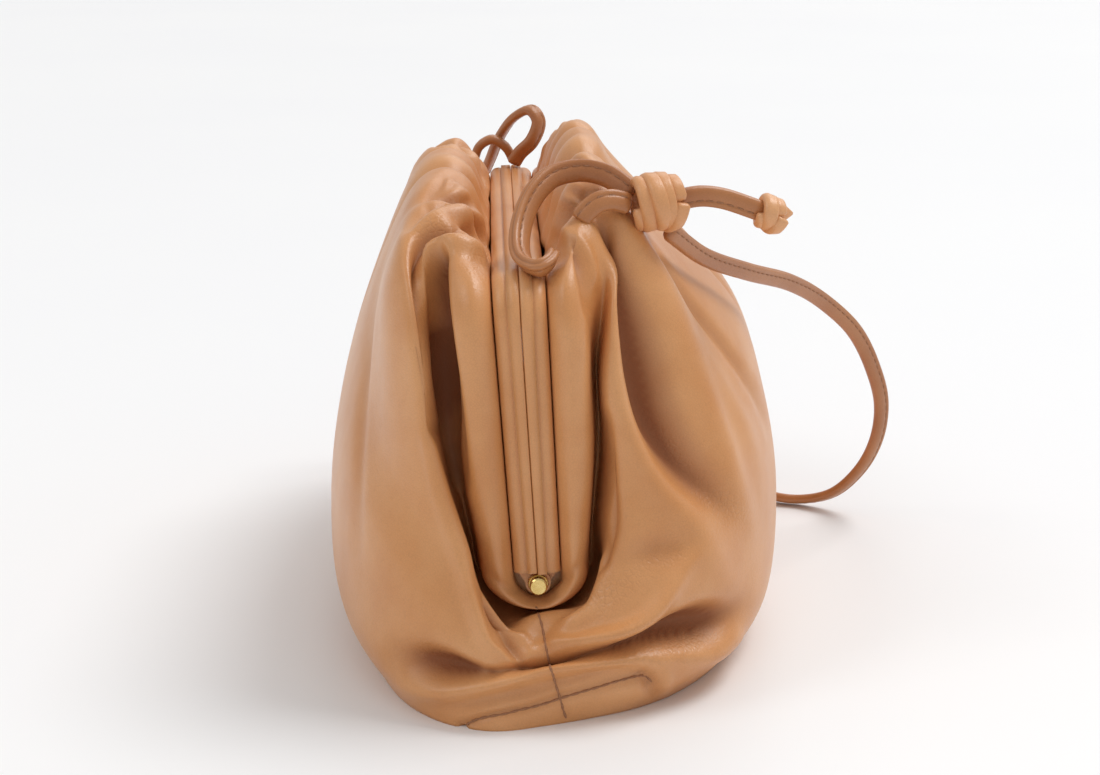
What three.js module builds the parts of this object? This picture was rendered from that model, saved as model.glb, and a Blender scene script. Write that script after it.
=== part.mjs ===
// A small gathered leather pouch with a hinged frame and a knotted leather strap.
// Millimetres, +Z up, +Y along the frame, the near end at -Y, the origin under the base's middle.

import * as THREE from "three";

// Driving sizes of the frame
const FRAME_LENGTH = 183;
const HINGE_HEIGHT = 31;
const LEG_BOTTOM_HEIGHT = 34;
const BAR_HEIGHT = 106;
const FRAME_CORNER_RADIUS = 9;
const FRAME_LEAN = 4.6;
const TUBE_DIAMETER = 5.6;
const GAP_AT_HINGE = 0.9;
const GAP_AT_BAR = 2.4;
const CLEARANCE = 0.35;

// Driving sizes of the leather body
const BODY_LENGTH = 224;
const BELLY_LEFT = 57;
const BELLY_RIGHT = 70;
const BELLY_HEIGHT = 42;
const SHOULDER_HEIGHT_LEFT = 125;
const SHOULDER_HEIGHT_RIGHT = 133;
const SHOULDER_REACH_LEFT = 22;
const SHOULDER_REACH_RIGHT = 21;
const SHOULDER_CORNER_RADIUS = 30;
const BASE_LENGTH = 222;
const BASE_LEFT = 46;
const BASE_RIGHT = 62;
const LEATHER_THICKNESS = 2;
const COLLAR_WIDTH = 8.5;
const STRIP_WIDTH_LEFT = 12;
const STRIP_WIDTH_RIGHT = 10.3;
const POCKET_DEPTH = 15;
const POCKET_REACH_LEFT = 17.4;
const POCKET_REACH_RIGHT = 13.6;
const FOLD_DEPTH = 6;
const CREASE_DEPTH = 4;

// Driving sizes of the brass hinge
const LEAF_RADIUS = 3.2;
const LEAF_THICKNESS = 1;
const RIVET_RING_DIAMETER = 5.2;
const RIVET_RING_HEIGHT = 0.9;
const RIVET_PIN_DIAMETER = 4.5;
const RIVET_PIN_HEIGHT = 3.2;
const RIVET_SHAFT_DIAMETER = 2.4;

// Driving sizes of the strap
const STRAP_DIAMETER = 3.8;
const KNOT_DIAMETER = 15;
const KNOT_LENGTH = 14;
const KNOT_WRAPS = 4;
const END_KNOT_DIAMETER = 9;
const END_KNOT_LENGTH = 8;
const END_KNOT_WRAPS = 2;

// Colours and finishes
const leatherLook = { color: 0xc48a60, roughness: 0.45, metalness: 0 };
const strapLook = { color: 0xb57d55, roughness: 0.5, metalness: 0 };
const brassLook = { color: 0xb98f3e, roughness: 0.3, metalness: 1 };

const TAU = 2 * Math.PI;

// The frame's hinges lie on the bag's own X = 0. The belly reaches further on one side, so the bag
// is set across by half the difference to stand with its middle over the origin.
const group = new THREE.Group();
const bag = new THREE.Group();
bag.position.x = (BELLY_LEFT - BELLY_RIGHT) / 2;
group.add(bag);

function addPart(name, geometry, look) {
  const mesh = new THREE.Mesh(geometry, new THREE.MeshStandardMaterial(look));
  mesh.name = name;
  bag.add(mesh);
  return mesh;
}

function mix(from, to, share) {
  return from + (to - from) * share;
}

function smooth(share) {
  const s = Math.min(Math.max(share, 0), 1);
  return s * s * (3 - 2 * s);
}

// A line round the frame in the YZ plane: up the near leg, round a corner of the given radius,
// along the bar and down the far leg. It gives the point at a share of the line's length.
const HALF_FRAME = FRAME_LENGTH / 2;
const LEG_HEIGHT = BAR_HEIGHT - LEG_BOTTOM_HEIGHT;

function frameLineLength(radius) {
  return 2 * (LEG_HEIGHT - radius) + Math.PI * radius + FRAME_LENGTH - 2 * radius;
}

function frameLine(share, radius) {
  const end = share <= 0.5 ? -1 : 1;
  const fromFoot = Math.min(share, 1 - share) * frameLineLength(radius);
  const legLength = LEG_HEIGHT - radius;
  const angle = Math.min(Math.max((fromFoot - legLength) / radius, 0), Math.PI / 2);
  const alongBar = Math.max(0, fromFoot - legLength - radius * Math.PI / 2);
  return {
    y: end * (HALF_FRAME - radius * (1 - Math.cos(angle)) - alongBar),
    z: LEG_BOTTOM_HEIGHT + Math.min(fromFoot, legLength) + radius * Math.sin(angle),
  };
}

function heightShare(z) {
  return Math.max(0, (z - HINGE_HEIGHT) / (BAR_HEIGHT - HINGE_HEIGHT));
}

function leanAt(z) {
  return -FRAME_LEAN * heightShare(z);
}

function halfGapAt(z) {
  return mix(GAP_AT_HINGE, GAP_AT_BAR, heightShare(z)) / 2;
}

// The body's columns go once round the mouth. A column's share of its side runs from 0 under the
// near hinge to 1 under the far hinge, and the side is -1 on the left and 1 on the right.
const TURN_SHARE = 0.032;

function mouthPlace(share) {
  const onLine = (share - TURN_SHARE) / (1 - 2 * TURN_SHARE);
  const turn = Math.max(0, TURN_SHARE - share, share - 1 + TURN_SHARE) / TURN_SHARE;
  return {
    onLine: Math.min(Math.max(onLine, 0), 1),
    sideways: Math.cos(turn * Math.PI / 2),
    down: Math.sin(turn * Math.PI / 2),
  };
}

// On the legs a ring lies across the bag's end, and on the bar it lies over the shoulder. The bend
// from one to the other starts below the frame's corner and ends along the bar.
const BEND_BEFORE_CORNER = 16;
const BEND_AFTER_CORNER = 22;

function bendAt(onLine) {
  const leg = LEG_HEIGHT - FRAME_CORNER_RADIUS;
  const corner = FRAME_CORNER_RADIUS * Math.PI / 2;
  const fromFoot = Math.min(onLine, 1 - onLine) * frameLineLength(FRAME_CORNER_RADIUS);
  const length = BEND_BEFORE_CORNER + corner + BEND_AFTER_CORNER;
  return smooth((fromFoot - leg + BEND_BEFORE_CORNER) / length);
}

// Rings that follow the mouth. Each row holds, on the frame's legs, its place across the puffed
// strip and across the pocket behind it, its drop under the hinge as a share of COLLAR_WIDTH and
// its lift as a share of POCKET_DEPTH, and on the bar, its shares of the shoulder's reach and rise.
const MOUTH_OFFSET = TUBE_DIAMETER + CLEARANCE;
const MOUTH_DROP = LEG_BOTTOM_HEIGHT - HINGE_HEIGHT + LEAF_RADIUS + 3 * CLEARANCE;
const mouthRings = [
  { strip: 0.00, pocket: 0.00, drop: 0.00, lift: -0.07, barReach: 0.00, barRise: 0.00 },
  { strip: 0.05, pocket: 0.00, drop: 0.04, lift: 0.12, barReach: 0.05, barRise: 0.30 },
  { strip: 0.42, pocket: 0.00, drop: 0.16, lift: 0.34, barReach: 0.20, barRise: 0.76 },
  { strip: 0.86, pocket: 0.00, drop: 0.28, lift: 0.16, barReach: 0.38, barRise: 0.95 },
  { strip: 1.00, pocket: 0.10, drop: 0.38, lift: -0.55, barReach: 0.56, barRise: 1.00 },
  { strip: 1.00, pocket: 0.45, drop: 0.50, lift: -0.95, barReach: 0.78, barRise: 0.92 },
  { strip: 1.00, pocket: 1.00, drop: 0.74, lift: 0.20, barReach: 1.00, barRise: 0.66 },
];
// The strip and the pocket are narrower near the hinge than higher up the legs.
const NARROW_SHARE = 0.7;
const WIDENING_HEIGHT = 40;
// The shoulders rise most in the middle of the bar and sink towards its corners.
const SHOULDER_SINK = 0.6;
const SHOULDER_SINK_POWER = 2.5;

function mouthRingPoint(row, share, side) {
  const end = share <= 0.5 ? -1 : 1;
  const { onLine, sideways, down } = mouthPlace(share);
  const line = frameLine(onLine, mix(FRAME_CORNER_RADIUS, SHOULDER_CORNER_RADIUS, row.barReach));
  const bend = bendAt(onLine);
  const shoulderReach = side < 0 ? SHOULDER_REACH_LEFT : SHOULDER_REACH_RIGHT;
  const shoulder = side < 0 ? SHOULDER_HEIGHT_LEFT : SHOULDER_HEIGHT_RIGHT;
  const strip = side < 0 ? STRIP_WIDTH_LEFT : STRIP_WIDTH_RIGHT;
  const pocketReach = side < 0 ? POCKET_REACH_LEFT : POCKET_REACH_RIGHT;
  const towardsCorner = Math.abs(line.y) / HALF_FRAME;
  const arch = 1 - SHOULDER_SINK * Math.pow(towardsCorner, SHOULDER_SINK_POWER);
  const widen = mix(NARROW_SHARE, 1, smooth((line.z - HINGE_HEIGHT) / WIDENING_HEIGHT));
  const legOut = (row.strip * strip + row.pocket * (pocketReach - strip)) * widen;
  const out = MOUTH_OFFSET + mix(legOut, row.barReach * shoulderReach, bend);
  const lift = mix(row.lift * POCKET_DEPTH, row.barRise * (shoulder - BAR_HEIGHT) * arch, bend);
  const drop = MOUTH_DROP + row.drop * COLLAR_WIDTH;
  return new THREE.Vector3(
    leanAt(line.z) + side * (halfGapAt(line.z) + out) * sideways,
    line.y + end * Math.cos(bend * Math.PI / 2) * lift,
    line.z + Math.sin(bend * Math.PI / 2) * lift - drop * down,
  );
}

// Rings that follow the body's plan. Each row holds its reach to the side and to the end as shares
// of the belly's, its height at the ends and at the sides as shares of the belly's height, how
// square the plan is on the left and on the right, from 2 for an ellipse upwards, and how much of
// the base's slant it has.
const planRings = [
  { reachX: 0.82, reachY: 0.945, endHeight: 0.43, sideHeight: 2.08, left: 3.0, right: 2.8, slant: 0 },
  { reachX: 0.94, reachY: 0.98, endHeight: 0.38, sideHeight: 1.5, left: 2.8, right: 2.5, slant: 0 },
  { reachX: 1.0, reachY: 1.0, endHeight: 0.28, sideHeight: 0.9, left: 2.6, right: 2.3, slant: 0.2 },
  { reachX: 0.97, reachY: 0.995, endHeight: 0.12, sideHeight: 0.34, left: 2.7, right: 2.5, slant: 0.7 },
];
const BASE_SQUARENESS_LEFT = 2.9;
const BASE_SQUARENESS_RIGHT = 2.15;
const HEIGHT_POWER = 1.5;
const FAN_SHARE = 0.075;
// Near the floor each end sticks out further on the left of its middle than on the right.
const BASE_SLANT = 0.03;
const SLANT_SHARE = 0.3;

function planPoint(share, side, reachX, reachY, endZ, sideZ, squareness, slant) {
  const angle = Math.PI * (share + FAN_SHARE * Math.sin(TAU * share));
  const across = Math.max(0, Math.sin(angle));
  const along = Math.cos(angle);
  const sum = Math.pow(across, squareness) + Math.pow(Math.abs(along), squareness);
  const size = Math.pow(sum, -1 / squareness);
  const fromMiddle = side * Math.sin(Math.min(1, across / SLANT_SHARE) * Math.PI / 2);
  return new THREE.Vector3(
    side * reachX * across * size,
    -reachY * along * size * (1 - slant * BASE_SLANT * fromMiddle),
    mix(endZ, sideZ, Math.pow(across, HEIGHT_POWER)),
  );
}

function columnCurve(share, side) {
  const belly = side < 0 ? BELLY_LEFT : BELLY_RIGHT;
  const base = side < 0 ? BASE_LEFT : BASE_RIGHT;
  const fromMouth = mouthRings.map((row) => mouthRingPoint(row, share, side));
  const fromPlan = planRings.map((row) => planPoint(share, side, belly * row.reachX,
    BODY_LENGTH / 2 * row.reachY, BELLY_HEIGHT * row.endHeight, BELLY_HEIGHT * row.sideHeight,
    side < 0 ? row.left : row.right, row.slant));
  const onBase = planPoint(share, side, base, BASE_LENGTH / 2, 0, 0,
    side < 0 ? BASE_SQUARENESS_LEFT : BASE_SQUARENESS_RIGHT, 1);
  return new THREE.CatmullRomCurve3([...fromMouth, ...fromPlan, onBase], false, "centripetal");
}

// The gathers: grooves between puffed rolls, from the mouth over the shoulder and down the side.
// Each row holds the groove's place along its side, its depth as a share of FOLD_DEPTH, and where
// down the column it starts and has faded away.
const foldsLeft = [
  { at: 0.268, depth: 0.8, start: 0.05, end: 0.62 },
  { at: 0.318, depth: 1.0, start: 0.0, end: 0.72 },
  { at: 0.368, depth: 0.9, start: 0.0, end: 0.62 },
  { at: 0.425, depth: 0.8, start: 0.0, end: 0.68 },
  { at: 0.485, depth: 0.9, start: 0.0, end: 0.76 },
  { at: 0.545, depth: 0.8, start: 0.0, end: 0.64 },
  { at: 0.605, depth: 0.9, start: 0.0, end: 0.70 },
  { at: 0.662, depth: 0.8, start: 0.0, end: 0.64 },
  { at: 0.722, depth: 0.8, start: 0.05, end: 0.70 },
];
const foldsRight = [
  { at: 0.268, depth: 0.5, start: 0.05, end: 0.50 },
  { at: 0.315, depth: 0.9, start: 0.0, end: 0.60 },
  { at: 0.370, depth: 0.9, start: 0.0, end: 0.66 },
  { at: 0.430, depth: 0.8, start: 0.0, end: 0.72 },
  { at: 0.490, depth: 0.9, start: 0.0, end: 0.64 },
  { at: 0.550, depth: 0.8, start: 0.0, end: 0.72 },
  { at: 0.610, depth: 0.9, start: 0.0, end: 0.62 },
  { at: 0.670, depth: 0.8, start: 0.0, end: 0.70 },
  { at: 0.730, depth: 0.9, start: 0.05, end: 0.76 },
];
const FOLD_WIDTH_SHARE = 0.017;
const FOLD_SHARPNESS = 1.5;
const FADE_IN = 0.12;

function foldDepthAt(share, side, down) {
  let depth = 0;
  for (const fold of side < 0 ? foldsLeft : foldsRight) {
    const distance = Math.abs(share - fold.at) / FOLD_WIDTH_SHARE;
    const appears = smooth((down - fold.start) / FADE_IN);
    const fades = 1 - smooth((down - 0.45 * fold.end) / (0.55 * fold.end));
    depth += fold.depth * appears * fades * Math.exp(-Math.pow(distance, FOLD_SHARPNESS));
  }
  return depth * FOLD_DEPTH;
}

// The creases and hollows of the two ends: a crease across the lower end with a hollow at each of
// its ends, a groove beside the left pocket and a valley down the right side.
// Each row holds its side, 0 for both, its place along the side and down the column, its size in
// the same shares and its depth as a share of CREASE_DEPTH.
const endCreases = [
  { side: 0, at: 0.0, down: 0.745, wide: 0.06, tall: 0.025, depth: 0.8 },
  { side: -1, at: 0.08, down: 0.845, wide: 0.04, tall: 0.04, depth: 1.4 },
  { side: 1, at: 0.12, down: 0.83, wide: 0.045, tall: 0.04, depth: 1.8 },
  { side: -1, at: 0.24, down: 0.495, wide: 0.04, tall: 0.022, depth: 0.9 },
  { side: 1, at: 0.255, down: 0.56, wide: 0.03, tall: 0.03, depth: 1.4 },
  { side: 1, at: 0.205, down: 0.585, wide: 0.035, tall: 0.03, depth: 2.2 },
];

function creaseDepthAt(share, side, down) {
  let depth = 0;
  for (const crease of endCreases) {
    const across = (Math.min(share, 1 - share) - crease.at) / crease.wide;
    const along = (down - crease.down) / crease.tall;
    const here = crease.side === 0 || crease.side === side;
    depth += here ? crease.depth * Math.exp(-across * across - along * along) : 0;
  }
  return depth * CREASE_DEPTH;
}

// The body's mesh: columns set by the grooves, and rows set by the rings, with this many rows from
// each ring to the next.
const OUTER_ROWS = [1, 2, 2, 2, 2, 2, 4, 3, 2, 2, 2];
const INNER_ROWS = [1, 1, 1, 1, 1, 1, 1, 1, 1, 1, 1];
const TURN_COLUMNS = 4;
const LEG_COLUMNS = 10;
const COLUMNS_PER_ROLL = 3;

function evenShares(from, to, count) {
  return Array.from({ length: count }, (_, index) => mix(from, to, index / count));
}

function columnShares(folds) {
  const first = folds[0].at;
  const last = folds[folds.length - 1].at;
  const shares = [
    ...evenShares(0, TURN_SHARE, TURN_COLUMNS),
    ...evenShares(TURN_SHARE, first, LEG_COLUMNS),
  ];
  for (let fold = 0; fold < folds.length - 1; fold += 1) {
    shares.push(...evenShares(folds[fold].at, folds[fold + 1].at, COLUMNS_PER_ROLL));
  }
  shares.push(...evenShares(last, 1 - TURN_SHARE, LEG_COLUMNS));
  shares.push(...evenShares(1 - TURN_SHARE, 1, TURN_COLUMNS));
  return [...shares, 1];
}

function bodyColumns() {
  const left = columnShares(foldsLeft).map((share) => ({ share, side: -1 }));
  const right = columnShares(foldsRight).map((share) => ({ share, side: 1 }));
  return [...left, ...right.reverse().slice(1, -1)];
}

function surfaceNormal(surface, column, row) {
  const count = surface.length;
  const rows = surface[0].length - 1;
  const across = surface[(column + 1) % count][row].clone();
  across.sub(surface[(column + count - 1) % count][row]);
  const down = surface[column][Math.min(row + 1, rows)].clone();
  down.sub(surface[column][Math.max(row - 1, 0)]);
  return across.cross(down).normalize();
}

function bodySurface(columns, rowCounts, inward) {
  const rings = rowCounts.length;
  const downs = rowCounts.flatMap((count, ring) => evenShares(ring / rings, (ring + 1) / rings,
    count));
  downs.push(1);
  const plain = columns.map(({ share, side }) => {
    const curve = columnCurve(share, side);
    return downs.map((down) => curve.getPoint(down));
  });
  return columns.map(({ share, side }, column) => downs.map((down, row) => {
    const depth = foldDepthAt(share, side, down) + creaseDepthAt(share, side, down);
    const moved = plain[column][row].clone();
    moved.addScaledVector(surfaceNormal(plain, column, row), -depth - inward);
    moved.z = down === 1 ? inward : Math.max(moved.z, inward);
    return moved;
  }));
}

function bodyGeometry() {
  const columns = bodyColumns();
  const count = columns.length;
  const positions = [];
  const triangles = [];
  const addPoint = (point) => positions.push(point.x, point.y, point.z) / 3 - 1;
  const addSheet = (surface, floorHeight, isOuter) => {
    const ids = surface.map((points) => points.map(addPoint));
    const centre = addPoint(new THREE.Vector3(0, 0, floorHeight));
    const rows = ids[0].length - 1;
    const addTriangle = (a, b, c) => triangles.push(...(isOuter ? [a, c, b] : [a, b, c]));
    for (let column = 0; column < count; column += 1) {
      const next = (column + 1) % count;
      for (let row = 0; row < rows; row += 1) {
        addTriangle(ids[column][row], ids[column][row + 1], ids[next][row + 1]);
        addTriangle(ids[column][row], ids[next][row + 1], ids[next][row]);
      }
      addTriangle(ids[column][rows], centre, ids[next][rows]);
    }
    return ids;
  };
  const outer = addSheet(bodySurface(columns, OUTER_ROWS, 0), 0, true);
  const inner = addSheet(bodySurface(columns, INNER_ROWS, LEATHER_THICKNESS),
    LEATHER_THICKNESS, false);
  for (let column = 0; column < count; column += 1) {
    const next = (column + 1) % count;
    triangles.push(outer[column][0], inner[next][0], outer[next][0]);
    triangles.push(outer[column][0], inner[column][0], inner[next][0]);
  }
  const geometry = new THREE.BufferGeometry();
  geometry.setAttribute("position", new THREE.Float32BufferAttribute(positions, 3));
  geometry.setIndex(triangles);
  geometry.computeVertexNormals();
  return geometry;
}

// A round tube along a curve
function roundSection(diameter, sides) {
  const points = [];
  for (let index = 0; index < sides; index += 1) {
    const angle = index / sides * TAU;
    points.push(new THREE.Vector2(Math.cos(angle), Math.sin(angle)).multiplyScalar(diameter / 2));
  }
  return new THREE.Shape(points);
}

function tubeGeometry(curve, diameter, sides, steps) {
  const options = { steps, extrudePath: curve, bevelEnabled: false };
  return new THREE.ExtrudeGeometry(roundSection(diameter, sides), options);
}

// One half of the frame: a covered tube along the frame's line, beside the other half
class FrameCurve extends THREE.Curve {
  constructor(side) {
    super();
    this.side = side;
  }

  getPoint(share) {
    const line = frameLine(share, FRAME_CORNER_RADIUS);
    const out = halfGapAt(line.z) + TUBE_DIAMETER / 2;
    return new THREE.Vector3(leanAt(line.z) + this.side * out, line.y, line.z);
  }
}

const FRAME_STEPS = 30;
const TUBE_SIDES = 8;

function addFrame() {
  for (const [side, name] of [[-1, "frame_left"], [1, "frame_right"]]) {
    const geometry = tubeGeometry(new FrameCurve(side), TUBE_DIAMETER, TUBE_SIDES, FRAME_STEPS);
    addPart(name, geometry, leatherLook);
  }
}

// The hinges: at each end two brass leaves under the tubes' ends, with a rivet through them.
// A leaf is a disc round the rivet, cut flat under the tubes, with an arm out to its own tube.
const LEAF_TOP = LEG_BOTTOM_HEIGHT - HINGE_HEIGHT - CLEARANCE;
const LEAF_HOLE_RADIUS = RIVET_SHAFT_DIAMETER / 2 + CLEARANCE;
const RIVET_SIDES = 16;
const LEAF_TOP_ANGLE = Math.asin(Math.min(1, LEAF_TOP / LEAF_RADIUS));

function leafShape(side) {
  const armEnd = side * (GAP_AT_HINGE + TUBE_DIAMETER + LEAF_RADIUS) / 2;
  const shape = new THREE.Shape();
  shape.moveTo(armEnd, LEAF_TOP);
  shape.lineTo(side * LEAF_RADIUS, 0);
  if (side > 0) {
    shape.absarc(0, 0, LEAF_RADIUS, 0, Math.PI - LEAF_TOP_ANGLE, true);
  } else {
    shape.absarc(0, 0, LEAF_RADIUS, Math.PI, TAU + LEAF_TOP_ANGLE, false);
  }
  shape.lineTo(armEnd, LEAF_TOP);
  const hole = new THREE.Path();
  hole.absarc(0, 0, LEAF_HOLE_RADIUS, 0, TAU, side < 0);
  shape.holes.push(hole);
  return shape;
}

function rivetGeometry() {
  const ring = RIVET_RING_DIAMETER / 2;
  const pin = RIVET_PIN_DIAMETER / 2;
  const shaft = RIVET_SHAFT_DIAMETER / 2;
  const grip = 2 * LEAF_THICKNESS + 3 * CLEARANCE;
  const profile = [
    [0, -RIVET_PIN_HEIGHT],
    [pin * 0.85, -RIVET_PIN_HEIGHT],
    [pin, -RIVET_PIN_HEIGHT * 0.9],
    [pin, -RIVET_RING_HEIGHT],
    [ring * 0.92, -RIVET_RING_HEIGHT],
    [ring, -RIVET_RING_HEIGHT * 0.7],
    [ring, 0],
    [shaft, 0],
    [shaft, grip],
    [pin, grip],
    [pin, grip + RIVET_RING_HEIGHT],
    [0, grip + RIVET_RING_HEIGHT],
  ];
  return new THREE.LatheGeometry(profile.map(([r, y]) => new THREE.Vector2(r, y)), RIVET_SIDES);
}

function addHinge(end, name) {
  const pitch = LEAF_THICKNESS + CLEARANCE;
  for (const [side, leafName] of [[-1, "hinge_leaf_left"], [1, "hinge_leaf_right"]]) {
    const options = { depth: LEAF_THICKNESS, bevelEnabled: false, curveSegments: 10 };
    const geometry = new THREE.ExtrudeGeometry(leafShape(side), options);
    geometry.rotateX(Math.PI / 2);
    const leaf = addPart(`${leafName}_${name}`, geometry, brassLook);
    const layer = side < 0 ? pitch / 2 : -pitch / 2;
    const middle = end * (HALF_FRAME + layer) + LEAF_THICKNESS / 2;
    leaf.position.set(0, middle, HINGE_HEIGHT);
  }
  const rivet = addPart(`hinge_rivet_${name}`, rivetGeometry(), brassLook);
  rivet.rotation.x = end < 0 ? 0 : Math.PI;
  const grip = 2 * LEAF_THICKNESS + 3 * CLEARANCE;
  rivet.position.set(0, end * (HALF_FRAME + grip / 2), HINGE_HEIGHT);
}

// The strap: points chosen by hand along each stretch
const strapRunPoints = [
  [34.1, -64.1, 115.1], [45.1, -48, 105.1], [59.1, -28, 96.9], [74.7, -5, 88.7],
  [87, 12, 79.5], [98.8, 24, 67.5], [106.4, 33, 54], [111, 40, 40.4], [111, 46, 26.5],
  [107, 51, 15], [99.5, 55, 6.2], [90.2, 60, 2.4], [81.3, 64, 2.3], [76, 78, 2.3],
  [79, 106, 2.3], [83, 142, 2.3], [79, 184, 2.3], [56, 220, 2.3], [16, 238, 2.3],
  [-28, 236, 2.3], [-58, 214, 2.3], [-58, 184, 2.3], [-32, 168, 2.3], [2, 180, 2.3],
  [34, 194, 2.3], [54, 176, 2.3], [46, 148, 2.3], [18, 138, 2.3], [-12, 150, 2.3],
  [-38, 150, 2.3], [-44, 134, 2.3], [-30, 123, 4.5], [-22, 121, 20], [-19, 119, 44],
  [-17, 115, 68], [-15, 110, 86.6],
];
const strapLoopNearPoints = [
  [21.6, -62, 127], [18.6, -59, 128.8], [12.2, -57, 129.8], [4.2, -59, 128.2],
  [0.8, -62, 125.4], [-2.1, -67, 121], [-3.6, -72, 116], [-2.9, -79, 112],
  [0.6, -83.4, 111.1], [3.2, -80.8, 111.4],
];
const strapReturnNearPoints = [
  [22.3, -69.4, 123.3], [18.6, -71, 124.8], [15.5, -72, 124.4], [13, -72.8, 123],
];
const strapTailNearPoints = [
  [38.2, -64.7, 122.8], [42, -63.5, 123], [47.1, -62, 121.9], [55.6, -60.5, 120],
];
const strapLoopFarPoints = [
  [-13.5, 104, 103], [-11, 98.5, 109.5], [-8, 92, 117.5], [-3, 86, 125], [2, 82.5, 127.5],
  [4.4, 80.5, 124], [2.2, 79, 118], [-1.8, 79, 114], [-3.9, 79.2, 111.4],
];
const strapHookFarPoints = [
  [-3.6, 86.8, 111.4], [-6.2, 86, 115.2], [-10.5, 86, 117.6],
  [-14.6, 86.3, 115.4], [-16.5, 86.6, 110.6],
];
const strapTailFarPoints = [
  [-23.6, 109.4, 93.5], [-27, 112, 90], [-30, 114.5, 84], [-31.5, 116, 76.2],
];

const STRAP_SIDES = 8;
const STRAP_STEP = 3.8 * STRAP_DIAMETER;

function addStrap(name, points) {
  const curve = new THREE.CatmullRomCurve3(points.map((point) => new THREE.Vector3(...point)));
  const steps = Math.ceil(curve.getLength() / STRAP_STEP) + 2;
  addPart(name, tubeGeometry(curve, STRAP_DIAMETER, STRAP_SIDES, steps), strapLook);
}

// A wrapped knot: turns of the strap side by side round a barrel
const POINTS_PER_WRAP = 3;
const KNOT_SEGMENTS = 12;
const KNOT_END_SHARE = 0.55;
const WRAP_RELIEF = 0.07;

function knotGeometry(diameter, length, wraps) {
  const profile = [new THREE.Vector2(0, -length / 2)];
  const count = wraps * POINTS_PER_WRAP;
  for (let index = 0; index <= count; index += 1) {
    const along = index / count * 2 - 1;
    const barrel = mix(KNOT_END_SHARE, 1, Math.sqrt(1 - Math.pow(along, 4)));
    const relief = 1 - WRAP_RELIEF * (1 + Math.cos(TAU * index / POINTS_PER_WRAP)) / 2;
    profile.push(new THREE.Vector2(diameter / 2 * barrel * relief, along * length / 2));
  }
  profile.push(new THREE.Vector2(0, length / 2));
  return new THREE.LatheGeometry(profile, KNOT_SEGMENTS);
}

function addKnot(name, size, centre, axis) {
  const knot = addPart(name, knotGeometry(size.diameter, size.length, size.wraps), strapLook);
  const direction = new THREE.Vector3(...axis).normalize();
  knot.quaternion.setFromUnitVectors(new THREE.Vector3(0, 1, 0), direction);
  knot.position.set(...centre);
}

const mainKnot = { diameter: KNOT_DIAMETER, length: KNOT_LENGTH, wraps: KNOT_WRAPS };
const endKnot = { diameter: END_KNOT_DIAMETER, length: END_KNOT_LENGTH, wraps: END_KNOT_WRAPS };

addPart("leather_body", bodyGeometry(), leatherLook);
addFrame();
addHinge(-1, "near");
addHinge(1, "far");
addStrap("strap_run", strapRunPoints);
addStrap("strap_loop_near", strapLoopNearPoints);
addStrap("strap_return_near", strapReturnNearPoints);
addStrap("strap_tail_near", strapTailNearPoints);
addStrap("strap_loop_far", strapLoopFarPoints);
addStrap("strap_hook_far", strapHookFarPoints);
addStrap("strap_tail_far", strapTailFarPoints);
addKnot("strap_knot_near", mainKnot, [30.4, -66.2, 123], [1, 0.12, 0.16]);
addKnot("strap_end_knot_near", endKnot, [60, -60, 119], [1, 0.1, -0.2]);
addKnot("strap_knot_far", mainKnot, [-15, 108.5, 95], [-1, 0.1, -0.3]);
addKnot("strap_end_knot_far", endKnot, [-32.5, 117, 71.5], [-0.1, 0.1, -1]);

export default group;
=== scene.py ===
import math

import bpy
import numpy as np
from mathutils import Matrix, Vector
from mathutils.bvhtree import BVHTree


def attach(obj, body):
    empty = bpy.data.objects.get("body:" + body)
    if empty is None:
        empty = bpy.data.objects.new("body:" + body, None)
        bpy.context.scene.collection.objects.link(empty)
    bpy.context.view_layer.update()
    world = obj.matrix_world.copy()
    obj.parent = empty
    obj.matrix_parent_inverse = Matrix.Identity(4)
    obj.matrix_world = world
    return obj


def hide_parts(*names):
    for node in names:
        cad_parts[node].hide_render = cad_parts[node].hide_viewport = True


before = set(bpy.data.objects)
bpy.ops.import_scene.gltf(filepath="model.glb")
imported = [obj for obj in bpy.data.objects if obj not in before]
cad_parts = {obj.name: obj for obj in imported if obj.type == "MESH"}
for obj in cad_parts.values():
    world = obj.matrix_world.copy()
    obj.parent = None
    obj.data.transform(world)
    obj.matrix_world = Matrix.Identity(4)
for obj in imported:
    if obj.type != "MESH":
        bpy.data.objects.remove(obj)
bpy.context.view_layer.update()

# Sizes of the bag in millimetres, with X = 0 at the hinges. The whole bag is then moved by SHIFT.
FRAME_LENGTH = 183.0
HINGE_HEIGHT = 31.0
LEG_BOTTOM_HEIGHT = 34.0
BAR_HEIGHT = 106.0
FRAME_CORNER_RADIUS = 9.0
FRAME_LEAN = 4.6
TUBE_DIAMETER = 5.6
GAP_AT_HINGE = 0.9
GAP_AT_BAR = 2.4
CLEARANCE = 0.35
SEAM_SINK = 0.1
BODY_LENGTH = 224.0
BELLY = {-1: 57.0, 1: 70.0}
BELLY_HEIGHT = 42.0
SHOULDER_HEIGHT = {-1: 125.0, 1: 133.0}
SHOULDER_REACH = {-1: 22.0, 1: 21.0}
SHOULDER_CORNER_RADIUS = 30.0
BASE_LENGTH = 222.0
BASE = {-1: 46.0, 1: 62.0}
LEATHER_THICKNESS = 2.0
COLLAR_WIDTH = 8.5
STRIP_WIDTH = {-1: 12.0, 1: 10.3}
POCKET_DEPTH = 15.0
POCKET_REACH = {-1: 17.4, 1: 13.6}
FOLD_DEPTH = 6.0
LEAF_RADIUS = 3.2
HALF_FRAME = FRAME_LENGTH / 2
LEG_HEIGHT = BAR_HEIGHT - LEG_BOTTOM_HEIGHT
SHIFT = np.array([(BELLY[-1] - BELLY[1]) / 2, 0, 0])
MM = 0.001

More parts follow.
